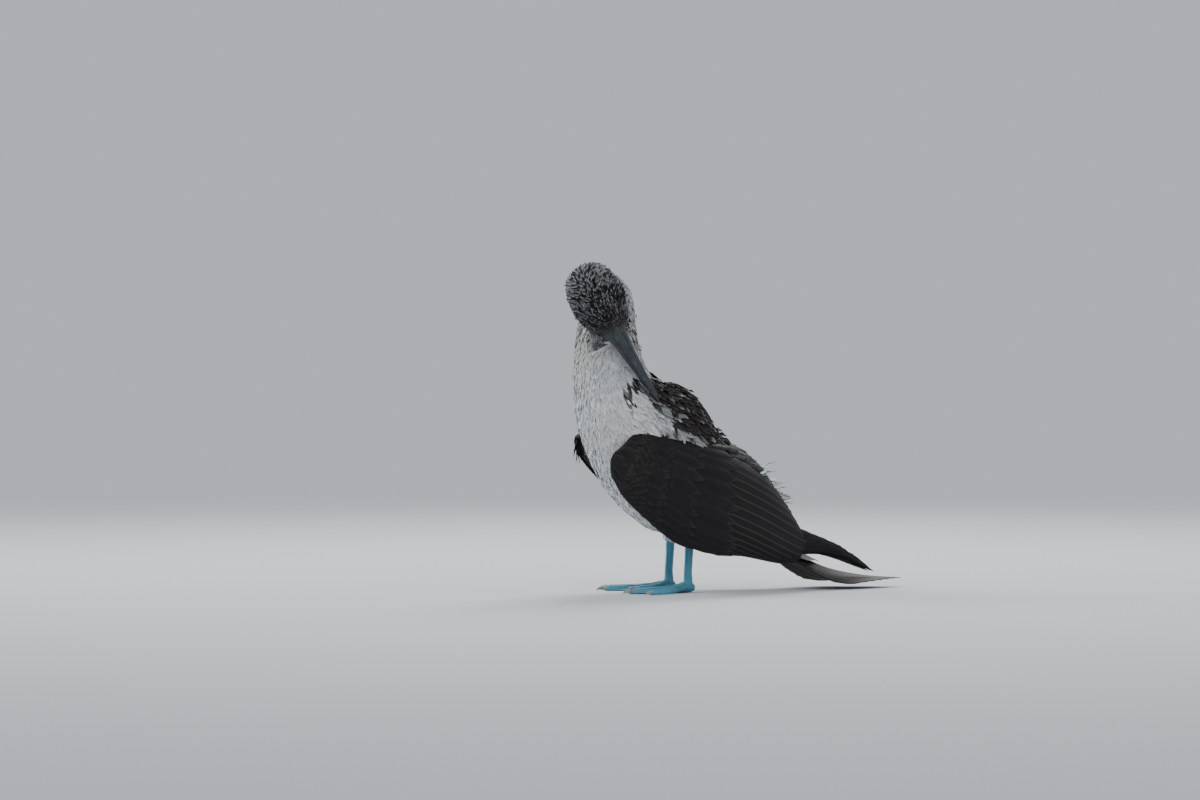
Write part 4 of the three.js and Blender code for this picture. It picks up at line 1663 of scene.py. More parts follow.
ARM_STATIONS = [
    ((-112, 57, 168), 6, 1, 6, 1, 5),
    ((-105, 62, 164), 27, 4, 21, 3, 13),
    ((-88, 68, 156), 43, 8, 35, 6, 20),
    ((-58, 73, 140), 57, 14, 45, 8, 22),
    ((2, 76, 108), 76, 28, 55, 14, 20),
    ((72, 62, 80), 76, 46, 40, 12, 16),
    ((134, 38, 53), 31, 14, 24, 6, 6),
    ((154, 32, 46), 10, 4, 9, 2, 3),
]
HAND_STATIONS = [
    ((40, 60, 74), 26, 6, 15, 2, 3),
    ((132, 35, 58), 21, 6, 13, 2, 3),
    ((196, 20, 49), 11, 3, 9, 2, 2),
    ((258, 10, 21), 3, 1, 3, 1, 2),
]


@dataclass(frozen=True)
class Row:
    """One tier of wing feathers: where roots and tips lie along the face, and their sizes."""

    root: float
    tip: float
    count: int
    width: float
    lift: float
    low: float = -0.95
    high: float = 0.95
    slant: float = 0.3
    rows: int = 9
    columns: int = 7


@dataclass
class Wing:
    """A folded wing: its fleshy shell, coverts in tiers, secondaries and primaries."""

    name: str
    side: int
    lower_share: float = 1.0
    wrist_raise: float = 0.0
    raised_stations: int = 5
    bulge: float = 3.0
    edge_rag: float = 0.35
    raised: bool = False
    lesser_gap: float = 5.6
    thickness: float = 0.45
    seed: int = 7
    tiers: tuple[Row, ...] = (
        Row(1.9, 3.1, 12, 15, 1.9),
        Row(2.4, 3.75, 12, 17, 2.2),
        Row(3.0, 4.5, 12, 18, 2.5),
    )
    primary_tips: tuple[float, ...] = (3.0, 2.94, 2.76, 2.52, 2.28, 2.02, 1.76, 1.5)
    secondary_count: int = 14

    def __post_init__(self) -> None:
        """Lays out the arm's and the hand's faces."""
        arm = []
        for i, (centre, rise, rise_tuck, fall, fall_tuck, depth) in enumerate(ARM_STATIONS):
            lift = self.wrist_raise * max(0.0, 1 - i / self.raised_stations)
            place = (centre[0], centre[1], centre[2] + lift)
            arm.append((place, rise, rise_tuck, fall * self.lower_share, fall_tuck * self.lower_share, depth))
        self.arm = WingFace(arm, side=self.side)
        self.hand = WingFace(HAND_STATIONS, side=self.side)

    def build(self, finishes: Finishes) -> list[Piece]:
        """Makes the wing's pieces in the place of its node.

        Args:
            finishes: The bird's materials.

        Returns:
            The wing's pieces.
        """
        node = "wing_" + self.name
        flight = MeshData()
        self._primaries(flight)
        self._secondaries(flight)
        coverts = MeshData()
        for number, row in enumerate(self.tiers):
            self._tier(coverts, row, number)
        self._lesser(coverts)
        self._scapulars(coverts)
        self._edge(coverts)
        pieces = [
            self._shell(finishes.covert),
            *flight.build(node + "_flight", finishes.flight),
            *coverts.build(node + "_coverts", finishes.covert),
        ]
        return [lay_piece(piece, (node,)) for piece in pieces]

    def _shell(self, material: Material) -> Piece:
        """The closed form under the feathers.

        Args:
            material: What it is made of.

        Returns:
            The finished piece.
        """
        t = np.linspace(0.02, 6.6, 56)[:, None]
        q = np.linspace(-1, 1, 22)
        outer = self.arm.point(t, q, self.bulge * (1 - q * q) - 1.2)
        depth = self.arm.size(t.ravel())[:, 4:5]
        inner = self.arm.point(t, q, -depth * 0.8 * np.sqrt(1.02 - q * q) - 1.8)
        rings = np.concatenate([outer, inner[:, ::-1]], axis=1)
        piece = loft_mesh("wing_" + self.name + "_shell", rings, material)
        dress_attributes(piece, Tone.UMBER * 0.8)
        return piece

    def _vanes(self, data: MeshData, face: WingFace, start: Array, end: Array, width: float,
               lift: tuple[Array, Array], colours: tuple[Array, Array, Array],
               outline: tuple[list[float], list[float]], grid: tuple[int, int], draw: np.random.Generator,
               closed: bool = False) -> None:
        """Adds vanes that follow a face from their roots to their tips.

        Args:
            data: Where the vanes go.
            face: The face they follow.
            start: Root of each, as t and q.
            end: Tip of each, as t and q.
            width: Width of every one.
            lift: Heights over the face at the roots and at the tips.
            colours: Root, tip and edge colours of each.
            outline: Shares along the vane and how broad it is there.
            grid: Rows and columns of each vane.
            draw: Random numbers.
            closed: Whether each vane has two faces.
        """
        s = np.linspace(0, 1, grid[0]) ** 0.9
        x = np.linspace(-1, 1, grid[1])
        t = start[:, :1] + (end[:, :1] - start[:, :1]) * s
        near, far = (place[:, 1:] * face.reach(place[:, :1], place[:, 1:]) for place in (start, end))
        line = near + (far - near) * s
        reach = face.reach(t, line)
        q = line / reach
        ragged = draw.normal(0, 0.05, (len(start), *grid)) * np.abs(x) ** 3
        across = (x + ragged) * (width / 2 * np.interp(s, *outline))[:, None]
        low, high = (np.broadcast_to(level, len(start))[:, None] for level in lift)
        bulge = self.bulge * (1 - np.clip(q, -1, 1) ** 2) * (face is self.arm)
        level = (low + (high - low) * s + bulge)[..., None] + 0.35 * (np.abs(x) < 0.08) - 0.05 * x**2 * width
        bend = np.gradient(t, axis=1)[..., None] * (-0.8 * x**2) * s[:, None] ** 6
        place = (t[..., None] + bend, q[..., None] + across / reach[..., None])
        root, tip, edge = (tone[:, None] for tone in colours)
        rim = np.maximum(np.abs(x) ** 4, smooth(0.9, 1.0, s)[:, None])
        colour = mix(mix(root, tip, smooth(0.2, 1, s))[:, :, None], edge[:, None], rim)
        below = face.point(*place, level - self.thickness) if closed else None
        data.lay(face.point(*place, level), colour, s, x, self.side < 0, below=below)

    def _tones(self, count: int, draw: np.random.Generator, base: Array, edge: Array,
               edge_share: float) -> tuple[Array, Array, Array]:
        """Root, tip and edge colours that vary from vane to vane."""
        tone = base * (0.75 + 0.5 * draw.random((count, 1)))
        return tone, tone * 1.15, mix(tone, edge, edge_share * (0.6 + 0.4 * draw.random(count)))

    def _tier(self, data: MeshData, row: Row, number: int) -> None:
        """A tier of larger coverts.

        Args:
            data: Where the feathers are gathered.
            row: The row of coverts.
            number: Which row it is.
        """
        draw = np.random.default_rng(self.seed + 10 + number)
        q = np.linspace(row.low, row.high, row.count) + draw.normal(0, 0.01, row.count)
        shift = row.slant * (0.3 - q) + draw.normal(0, 0.02, row.count)
        order = np.argsort(q)
        start = pairs(row.root + shift, q * 0.98)[order]
        end = pairs(row.tip + shift, q)[order]
        colours = self._tones(row.count, draw, Tone.BLACK, Tone.BROWN * 1.5, 0.42)
        outline = ([0, 0.3, 0.7, 0.9, 1], [0.55, 0.95, 1.0, 0.8, 0.35])
        self._vanes(data, self.arm, start, end, row.width, (-0.6, row.lift + 0.03 * np.arange(row.count)),
                    colours, outline, (row.rows, row.columns), draw)

    def _lesser(self, data: MeshData) -> None:
        """The small coverts over the front of the arm.

        Args:
            data: Where the feathers are gathered.
        """
        draw = np.random.default_rng(self.seed + 30)
        starts = []
        for number, t in enumerate(np.linspace(0.05, 2.95, 26)):
            reach = float(self.arm.reach(np.array([t, t]), np.array([0.5, -0.5])).sum())
            count = max(4, round(reach / self.lesser_gap))
            q = np.linspace(-1.02, 1.02, count) + (number % 2) / count
            starts.append(pairs(t + 0.3 * (0.3 - q) * min(1, t), q))
        start = np.concatenate(starts)
        start += draw.normal(0, 1, start.shape) * [0.02, 0.012]
        count = len(start)
        step = self.arm.centre(start[:, 0] + 0.05) - self.arm.centre(start[:, 0] - 0.05)
        pace = np.linalg.norm(step, axis=1) / 0.1
        end = start + pairs(13.0 / np.maximum(pace, 8), draw.normal(0, 0.01, count))
        lift = (-0.6, 0.9 + 0.5 * draw.random(count))
        colours = self._tones(count, draw, Tone.BLACK * 1.1, Tone.BROWN * 1.6, 0.5)
        outline = ([0, 0.35, 0.75, 1], [0.5, 0.95, 1.0, 0.45])
        self._vanes(data, self.arm, start, end, 8.6, lift, colours, outline, (5, 5), draw)

    def _edge(self, data: MeshData) -> None:
        """Small ragged feathers that hang from the wing's leading edge.

        Args:
            data: Where the feathers are gathered.
        """
        draw = np.random.default_rng(self.seed + 80)
        rows = []
        for t, q, push in ((0.05, 0.9, 1.0), (0.35, 1.0, 0.6), (0.8, 1.05, 0.35)):
            front = t < 0.1
            count = 13 if front else 9
            place = np.linspace(-q, q, count) + draw.normal(0, 0.04, count)
            if not front:
                place = np.where(place > 0, 1, -1) * (0.9 + 0.12 * draw.random(count))
            rows.append(np.stack(np.broadcast_arrays(t, place, push), axis=1))
        t, q, push = np.concatenate(rows).T
        count = len(t)
        roots = self.arm.point(t, q, -0.8)
        outward = unit(self.arm.point(t, q, 1.0) - self.arm.point(t, q, 0.0))
        forward = -self.arm.along(t) * [1.0, self.side, 1.0]
        rising = np.where((q > 0.35) & self.raised, 1.0, -1.0)[:, None] * [0.0, 0.0, 1.0]
        share = self.edge_rag * push * draw.random(count)
        heading = forward * (share - 0.55)[:, None] + rising * 0.75 + draw.normal(0, 0.14, (count, 3))
        length = 9 + (5 + 7 * draw.random(count)) * self.edge_rag
        tone, tip, _ = self._tones(count, draw, Tone.BLACK * 1.1, Tone.BROWN, 0.5)
        free_plumes(data, roots, heading, unit(outward + 0.8 * forward), length, 6.5, (tone, tip * 1.5), draw)

    def _scapulars(self, data: MeshData) -> None:
        """Loose shoulder feathers that lie over the wing's upper edge.

        Args:
            data: Where the feathers are gathered.
        """
        draw = np.random.default_rng(self.seed + 60)
        rows = []
        for number, t in enumerate(np.linspace(4.1, 5.55, 14)):
            low = np.interp(t, [4.1, 4.5, 5.55], [1.0, 0.84, 0.72])
            rows.append(pairs(t, np.linspace(low, 1.22, 7) + (number % 2) * 0.035))
        start = np.concatenate(rows)
        count = len(start)
        start += draw.normal(0, 1, start.shape) * [0.03, 0.015]
        end = start + pairs(0.42 + 0.12 * draw.random(count), draw.normal(-0.02, 0.03, count))
        reach, end_reach = (self.arm.reach(place[:, 0], place[:, 1]) for place in (start, end))
        end[:, 1] = np.clip(start[:, 1] * reach / end_reach, 0.3, 1.25)
        lift = (0.5, 3.2 + 2.6 * draw.random(count))
        tone, tip, rim = self._tones(count, draw, Tone.UMBER * 0.6, Tone.BROWN * 1.5, 0.5)
        rim = mix(rim, Tone.GREY, 0.5 * (draw.random(count) < 0.3))
        outline = ([0, 0.3, 0.7, 0.9, 1], [0.5, 0.95, 1.0, 0.75, 0.3])
        self._vanes(data, self.arm, start, end, 11.0, lift, (tone, tip, rim), outline, (9, 9), draw)

    def _secondaries(self, data: MeshData) -> None:
        """Secondaries and tertials, which end the arm.

        Args:
            data: Where the feathers are gathered.
        """
        draw = np.random.default_rng(self.seed + 50)
        count = self.secondary_count
        share = np.linspace(0, 1, count)
        start = pairs(3.5 + 0.25 * share, -0.9 + 1.72 * share)
        across = start[:, 1] * self.arm.reach(start[:, 0], start[:, 1]) * (0.86 - 0.12 * share)
        t = np.linspace(4.4, 6.75, 120)
        inside = self.arm.reach(t, np.sign(across)[:, None]) * 0.96 > np.abs(across)[:, None]
        last = np.array([t[np.nonzero(row)[0][-1]] for row in inside])
        tip_t = np.minimum(last + 0.1, 4.95 + 1.9 * smooth(-0.1, 0.75, share))
        end = pairs(tip_t, across / self.arm.reach(tip_t, across))
        colours = self._tones(count, draw, Tone.BLACK, Tone.BROWN, 0.45)
        outline = ([0, 0.15, 0.5, 0.8, 0.93, 1], [0.6, 0.95, 1.0, 0.85, 0.55, 0.12])
        self._vanes(data, self.arm, start, end, 20.0, (-1.0, 0.2 + 3.0 * share), colours, outline, (22, 9),
                    draw, closed=True)

    def _primaries(self, data: MeshData) -> None:
        """Primaries, the outermost lowest and longest, each next one shorter and laid over it.

        Args:
            data: Where the feathers are gathered.
        """
        draw = np.random.default_rng(self.seed + 70)
        count = len(self.primary_tips)
        place = np.linspace(-0.7, 0.85, count)
        order = np.arange(count)
        colours = self._tones(count, draw, Tone.BLACK * 0.9, Tone.BROWN, 0.4)
        outline = ([0, 0.2, 0.6, 0.85, 0.95, 1], [0.6, 0.95, 1.0, 0.7, 0.42, 0.1])
        self._vanes(data, self.hand, pairs(0.1, place * 0.9), pairs(self.primary_tips, place * 0.7), 15.0,
                    (0.15 * order, 0.6 * order - 1), colours, outline, (26, 9), draw, closed=True)


# Tail


@dataclass
class Tail:
    """The tail's fan of graduated feathers, with coverts over and under its base."""

    line: tuple[Triple, ...] = (
        (104, 0, 73), (148, 0, 46), (192, 0, 25), (242, 0, 14), (300, 0, 9),
    )
    feathers: int = 13
    length: float = 200.0
    width: float = 23.0
    spread: float = 0.034
    graduation: float = 11.5
    droop: float = 0.0024
    base_droop: float = 0.0085
    thickness: float = 0.45
    seed: int = 90

    def __post_init__(self) -> None:
        """Measures the centre line."""
        self.dense = spline(np.array(self.line), np.linspace(0, len(self.line) - 1, 400))
        steps = np.linalg.norm(np.diff(self.dense, axis=0), axis=1)
        self.run = np.concatenate([[0], np.cumsum(steps)])

    def _line(self, along: Array) -> Array:
        """Places on the centre line."""
        return np.stack([np.interp(along, self.run, axis) for axis in self.dense.T], axis=-1)

    def point(self, along: Array, out: Array, height: Array) -> Array:
        """Places over the fan's face, from the distance along it, to the right, and up.

        Args:
            along: Distances along the fan.
            out: Distances to the right.
            height: Distances upwards.

        Returns:
            Places in modelling millimetres.
        """
        along, out, height = np.broadcast_arrays(*(np.asarray(v, float) for v in (along, out, height)))
        low = np.clip(along, 0, self.run[-1])
        tangent = unit(self._line(np.minimum(low + 4, self.run[-1])) - self._line(np.maximum(low - 4, 0)))
        up = np.stack([-tangent[..., 2], np.zeros_like(low), tangent[..., 0]], axis=-1)
        droop = self.droop + self.base_droop * smooth(190, 20, low)
        lift = height - droop * out**2
        place = self._line(low) + tangent * (along - low)[..., None] + up * lift[..., None]
        place[..., 1] += out
        return place

    def build(self, finishes: Finishes) -> list[Piece]:
        """Makes the tail's pieces in the place of its node.

        Args:
            finishes: The bird's materials.

        Returns:
            The tail's pieces.
        """
        draw = np.random.default_rng(self.seed)
        fan, upper, under = MeshData(), MeshData(), MeshData()
        place = np.arange(self.feathers) - (self.feathers - 1) / 2
        order = np.argsort(-np.abs(place), kind="stable")
        place = place[order]
        tone = Tone.UMBER * (0.6 + 0.3 * draw.random((self.feathers, 1)))[order]
        tip = mix(tone * 1.1, Tone.BROWN, 0.5 * smooth(2.2, 0.0, np.abs(place)))
        length = self.length - self.graduation * np.abs(place)
        self._vanes(fan, place, 6.0, length, self.width, 1.8 - 0.62 * np.abs(place), (tone, tip), (26, 9), draw,
                    closed=True)
        place = np.linspace(-4.2, 4.2, 11)
        for start, size, reach, white in ((0, 17.0, 92, 0.0), (-14, 15.0, 74, 0.35), (-26, 14.0, 58, 0.8)):
            tone = mix(Tone.UMBER * 1.2, Tone.WHITE, white) * (0.8 + 0.4 * draw.random((len(place), 1)))
            level = 5.6 - 0.42 * np.abs(place) + (92 - reach) * 0.05
            self._vanes(upper, place * 1.35, start, reach - 5 * np.abs(place), size, level,
                        (tone, mix(tone * 1.2, Tone.PALE, 0.3)), (10, 7), draw)
        place = np.linspace(-4.5, 4.5, 12)
        for start, reach in ((0, 76), (-14, 64), (-28, 52)):
            tone = Tone.WHITE * (0.85 + 0.2 * draw.random((len(place), 1)))
            level = 0.2 * np.abs(place) - 4.6 - (100 - reach) * 0.05
            self._vanes(under, place * 1.4, start, reach - 5 * np.abs(place), 15.0, level, (tone, tone), (8, 7),
                        draw, under=True)
        dark = fan.build("tail_fan", finishes.flight) + upper.build("tail_coverts_upper", finishes.covert)
        pale = under.build("tail_coverts_under", finishes.down) + [self._base(finishes.skin)]
        slots = ["dark_plumage"] * len(dark) + ["white_plumage"] * len(pale)
        return [lay_piece(piece, ("tail",)) for piece, slot in zip(dark + pale, slots)]

    def _vanes(self, data: MeshData, place: Array, start: float, length: Array, width: float, height: Array,
               tones: tuple[Array, Array], grid: tuple[int, int], draw: np.random.Generator,
               closed: bool = False, under: bool = False) -> None:
        """Adds vanes that fan out from the tail's base.

        Args:
            data: Where the vanes go.
            place: Place of each in the fan, counted from the middle.
            start: Distance of the roots along the tail.
            length: Length of each.
            width: Width of every one.
            height: Height of each over the tail's face.
            tones: Root and tip colours of each.
            grid: Rows and columns of each vane.
            draw: Random numbers.
            closed: Whether each vane has two faces.
            under: Whether the vanes face down.
        """
        s = np.linspace(0, 1, grid[0]) ** 0.85
        x = np.linspace(-1, 1, grid[1])
        angle = place * self.spread
        along = (start + s * (length * np.cos(angle))[:, None])[..., None]
        out = (place * 2)[:, None] + s * (length * np.sin(angle))[:, None]
        half = (width / 2 * np.interp(s, [0, 0.3, 0.75, 0.92, 1], [0.4, 0.85, 1.0, 0.6, 0.12]))[:, None]
        ragged = draw.normal(0, 0.04, (len(place), *grid)) * np.abs(x) ** 3
        out = out[..., None] + (x + ragged) * half
        camber = 0.3 * (np.abs(x) < 0.08) - 0.1 * x**2 * half
        level = height[:, None, None] + (-camber if under else camber)
        tone, tip = (colour[:, None] for colour in tones)
        colour = mix(mix(tone, tip, s)[:, :, None], tip[:, None] * 1.3, 0.3 * x**4)
        below = self.point(along, out, level - self.thickness) if closed else None
        data.lay(self.point(along, out, level), colour, s, x, not under, below=below)

    def _base(self, material: Material) -> Piece:
        """The fleshy root of the tail.

        Args:
            material: What it is made of.

        Returns:
            The finished piece.
        """
        turn = round_turn(28)
        rings = []
        for along, out, above, below in ((-14, 22, 13, 13), (10, 22, 11, 11), (35, 20, 7, 7), (62, 15, 3, 3.4)):
            height = np.where(np.sin(turn) > 0, above, below) * np.sin(turn)
            rings.append(self.point(along, np.cos(turn) * out, height))
        piece = loft_mesh("tail_root", np.array(rings), material)
        dress_attributes(piece, Tone.WHITE * 0.8)
        return piece


# Head pieces


@dataclass
class Bill:
    """The long pointed bill in two halves, with a groove along each side and a slightly hooked tip."""

    shares: tuple[float, ...] = (0, 0.14, 0.34, 0.58, 0.8, 0.93, 1)
    culmen: tuple[float, ...] = (14.6, 12.6, 9.9, 7.6, 5.6, 3.9, 1.9)
    keel: tuple[float, ...] = (13.6, 10.6, 8.2, 6.2, 4.1, 2.0, 0.8)
    side: tuple[float, ...] = (12.2, 9.9, 7.6, 5.7, 3.9, 2.5, 1.1)
    hook: float = 3.2
    lower_share: float = 0.955
    gap: float = 0.5
    start: float = -3.0
    groove_turn: float = 0.62
    groove_width: float = 0.13
    edge_shade: float = 0.6

    def build(self, finishes: Finishes) -> list[Piece]:
        """Makes both halves.

        Args:
            finishes: The bird's materials.

        Returns:
            The two halves.
        """
        pieces = []
        for sign, share, node in ((1, 1.0, "bill_upper"), (-1, self.lower_share, "bill_lower")):
            piece = self._half(sign, share, node + "_horn", finishes.bill)
            pieces.append(lay_piece(piece, (node,)))
        return pieces

    def _half(self, sign: int, share: float, name: str, material: Material) -> Piece:
        """One half, a D-shaped loft with a groove and a rounded cutting edge, with painted highlights and painted
        shade in its vertex colours.

        Args:
            sign: 1 for the upper half, -1 for the lower.
            share: Length of the half as a share of the whole bill.
            name: Name of the piece.
            material: What it is made of.

        Returns:
            The half.
        """
        upper = sign > 0
        table = np.stack([self.shares, self.culmen if upper else self.keel, self.side], axis=1)
        turns = np.linspace(0, math.pi, 40)
        edge = np.linspace(math.pi, 0, 14)[1:-1]
        notch = np.exp(-(((np.abs(turns - math.pi / 2) - self.groove_turn) / self.groove_width) ** 2))
        rings, paints = [], []
        for s, height, side in spline(table, np.linspace(0, len(self.shares) - 1, 70)):
            along = HEAD.length / 2 + self.start * (1 - s) ** 3 + s * HEAD.bill_length * share
            groove = notch * (s < 0.86)
            depth = 1 - (0.10 if upper else 0.05) * groove * smooth(0.9, 0.7, s)
            out = np.cos(turns) * side * depth * (1 + 0.06 * np.cos(4 * turns))
            rise = np.concatenate([
                np.sin(turns) * height * depth, 0.12 * np.sin(edge) * min(2.0, height * 0.2),
            ])
            out = np.concatenate([out, np.cos(edge) * side * 0.93])
            rise = sign * (self.gap / 2 + rise) - self.hook * (s * share) ** 6
            rings.append(HEAD.point(np.full(len(out), along), out, rise))
            # Painted light in the vertex colours: a painted highlight along the upper half's top ridge and along
            # the cutting edges, painted shade in the side groove, and darker towards the tip.
            ridge_highlight = smooth(0.75, 1.0, np.sin(turns)) * 0.5 * upper
            lip_highlight = smooth(0.22, 0.05, np.sin(turns)) * 1.1
            shade = 1 + ridge_highlight + lip_highlight - 0.45 * groove - 0.35 * smooth(0.85, 1, s)
            # The rows along the cutting edge and the end caps take painted shade where the halves meet.
            paints += [*shade, *np.full(len(edge), self.edge_shade)]
        piece = loft_mesh(name, np.array(rings), material)
        dress_attributes(piece, np.array([*paints, self.edge_shade, self.edge_shade])[:, None])
        return piece


@dataclass
class Eyes:
    """Both eyes with their lids and a ring of bare skin."""

    lid_radius: float = 7.2
    lid_thickness: float = 1.25

    def build(self, finishes: Finishes) -> list[Piece]:
        """Makes eyeballs and lids.

        Args:
            finishes: The bird's materials.

        Returns:
            The pieces.
        """
        pieces = []
        for side, sign in (("left", 1), ("right", -1)):
            ball = self._ball("eyeball_" + side, sign, finishes.eye)
            pieces.append(lay_piece(ball, ("eye_" + side,)))
            for name, make in (("lids_", self._lids), ("lid_upper_", self._hood)):
                pieces.append(lay_piece(make(name + side, sign, finishes.lid)))
        return pieces

    def _basis(self, sign: int) -> tuple[Array, Array, Array]:
        """The eye's look, its sideways and its upward direction.

        Args:
            sign: 1 for the left eye, -1 for the right.

        Returns:
            Three unit directions.
        """
        look = HEAD.gaze(sign)
        up = unit(HEAD.crown - look * HEAD.crown.dot(look))
        return look, np.cross(up, look), up

    def _ball(self, name: str, sign: int, material: Material) -> Piece:
        """An eyeball whose vane coordinate is its distance from the pupil.

        Args:
            name: Name of the piece.
            sign: 1 for the left eye, -1 for the right.
            material: What it is made of.

        Returns:
            The finished piece.
        """
        look, side, up = self._basis(sign)
        polar = np.linspace(0.02, math.pi - 0.02, 40)
        turn = round_turn(48)
        reach = HEAD.eye_radius * 0.99 * (1 + 0.045 * smooth(0.75, 0.0, polar))
        spoke = np.cos(turn)[:, None] * side + np.sin(turn)[:, None] * up
        ring = HEAD.eye(sign) + reach[:, None, None] * (
            np.cos(polar)[:, None, None] * look + np.sin(polar)[:, None, None] * spoke
        )
        piece = loft_mesh(name, ring, material)
        out = np.append(np.repeat(polar, len(turn)) / 1.35, [0.0, 2.3])
        around = np.append(np.tile(turn, len(polar)), [0, 0])
        dress_attributes(piece, 1.0, np.stack([out, around], axis=1))
        return piece

    def _hood(self, name: str, sign: int, material: Material) -> Piece:
        """The upper lid, half drawn over the eye.

        Args:
            name: Name of the piece.
            sign: 1 for the left eye, -1 for the right.
            material: What it is made of.

        Returns:
            The finished piece.
        """
        look, side, up = self._basis(sign)
        swing = np.linspace(-1.45, 1.45, 30)[:, None, None]
        fall = np.linspace(0, 1, 12)[None, :, None]
        low = 0.42 + 0.75 * np.abs(swing / 1.45) ** 2.2
        polar = low + (1.6 - low) * fall
        way = np.cos(polar) * look + np.sin(polar) * (np.sin(swing) * side + np.cos(swing) * up)
        outer = HEAD.eye(sign) + way * (HEAD.eye_radius * 1.10 + 0.12 * np.cos(fall * 22))
        vane = np.concatenate(np.broadcast_arrays(swing, fall), axis=2)[None]
        data = MeshData()
        data.grids(outer[None], np.full((1, *way.shape), 0.8), vane, (vane + 2) / 5, (-way * 0.5)[None])
        piece = data.build(name, material)[0]
        mend(piece.data)
        return piece

    def _lids(self, name: str, sign: int, material: Material) -> Piece:
        """The rim of both lids: an almond ring with small folds.

        Args:
            name: Name of the piece.
            sign: 1 for the left eye, -1 for the right.
            material: What it is made of.

        Returns:
            The finished piece.
        """
        look, side, up = self._basis(sign)
        turn = round_turn(72)[:, None]
        cross = round_turn(14)[:, None]
        radius = self.lid_radius * 0.86 * (1 + 0.10 * np.cos(2 * turn))
        thick = self.lid_thickness * (1 + 0.05 * np.sin(turn * 12) + 0.25 * smooth(0.2, 1, np.sin(turn)))
        spoke = np.cos(turn) * side + np.sin(turn) * up
        centre = HEAD.eye(sign) + look * HEAD.eye_radius * 0.5 + spoke * radius
        tube = np.cos(cross) * spoke[:, None] * 1.5 + np.sin(cross) * look
        rings = centre[:, None] + thick[:, None] * tube
        piece = loft_mesh(name, np.concatenate([rings, rings[:1]]), material, closed=False)
        mend(piece.data, merge=1e-7)
        dress_attributes(piece, 1.0)
        return piece


# Legs and feet


@dataclass(frozen=True)
class Toe:
    """One toe: its name, its angle from the foot's heading, length, radius and claw, in millimetres."""

    name: str
    angle: float
    length: float
    radius: float
    claw: float


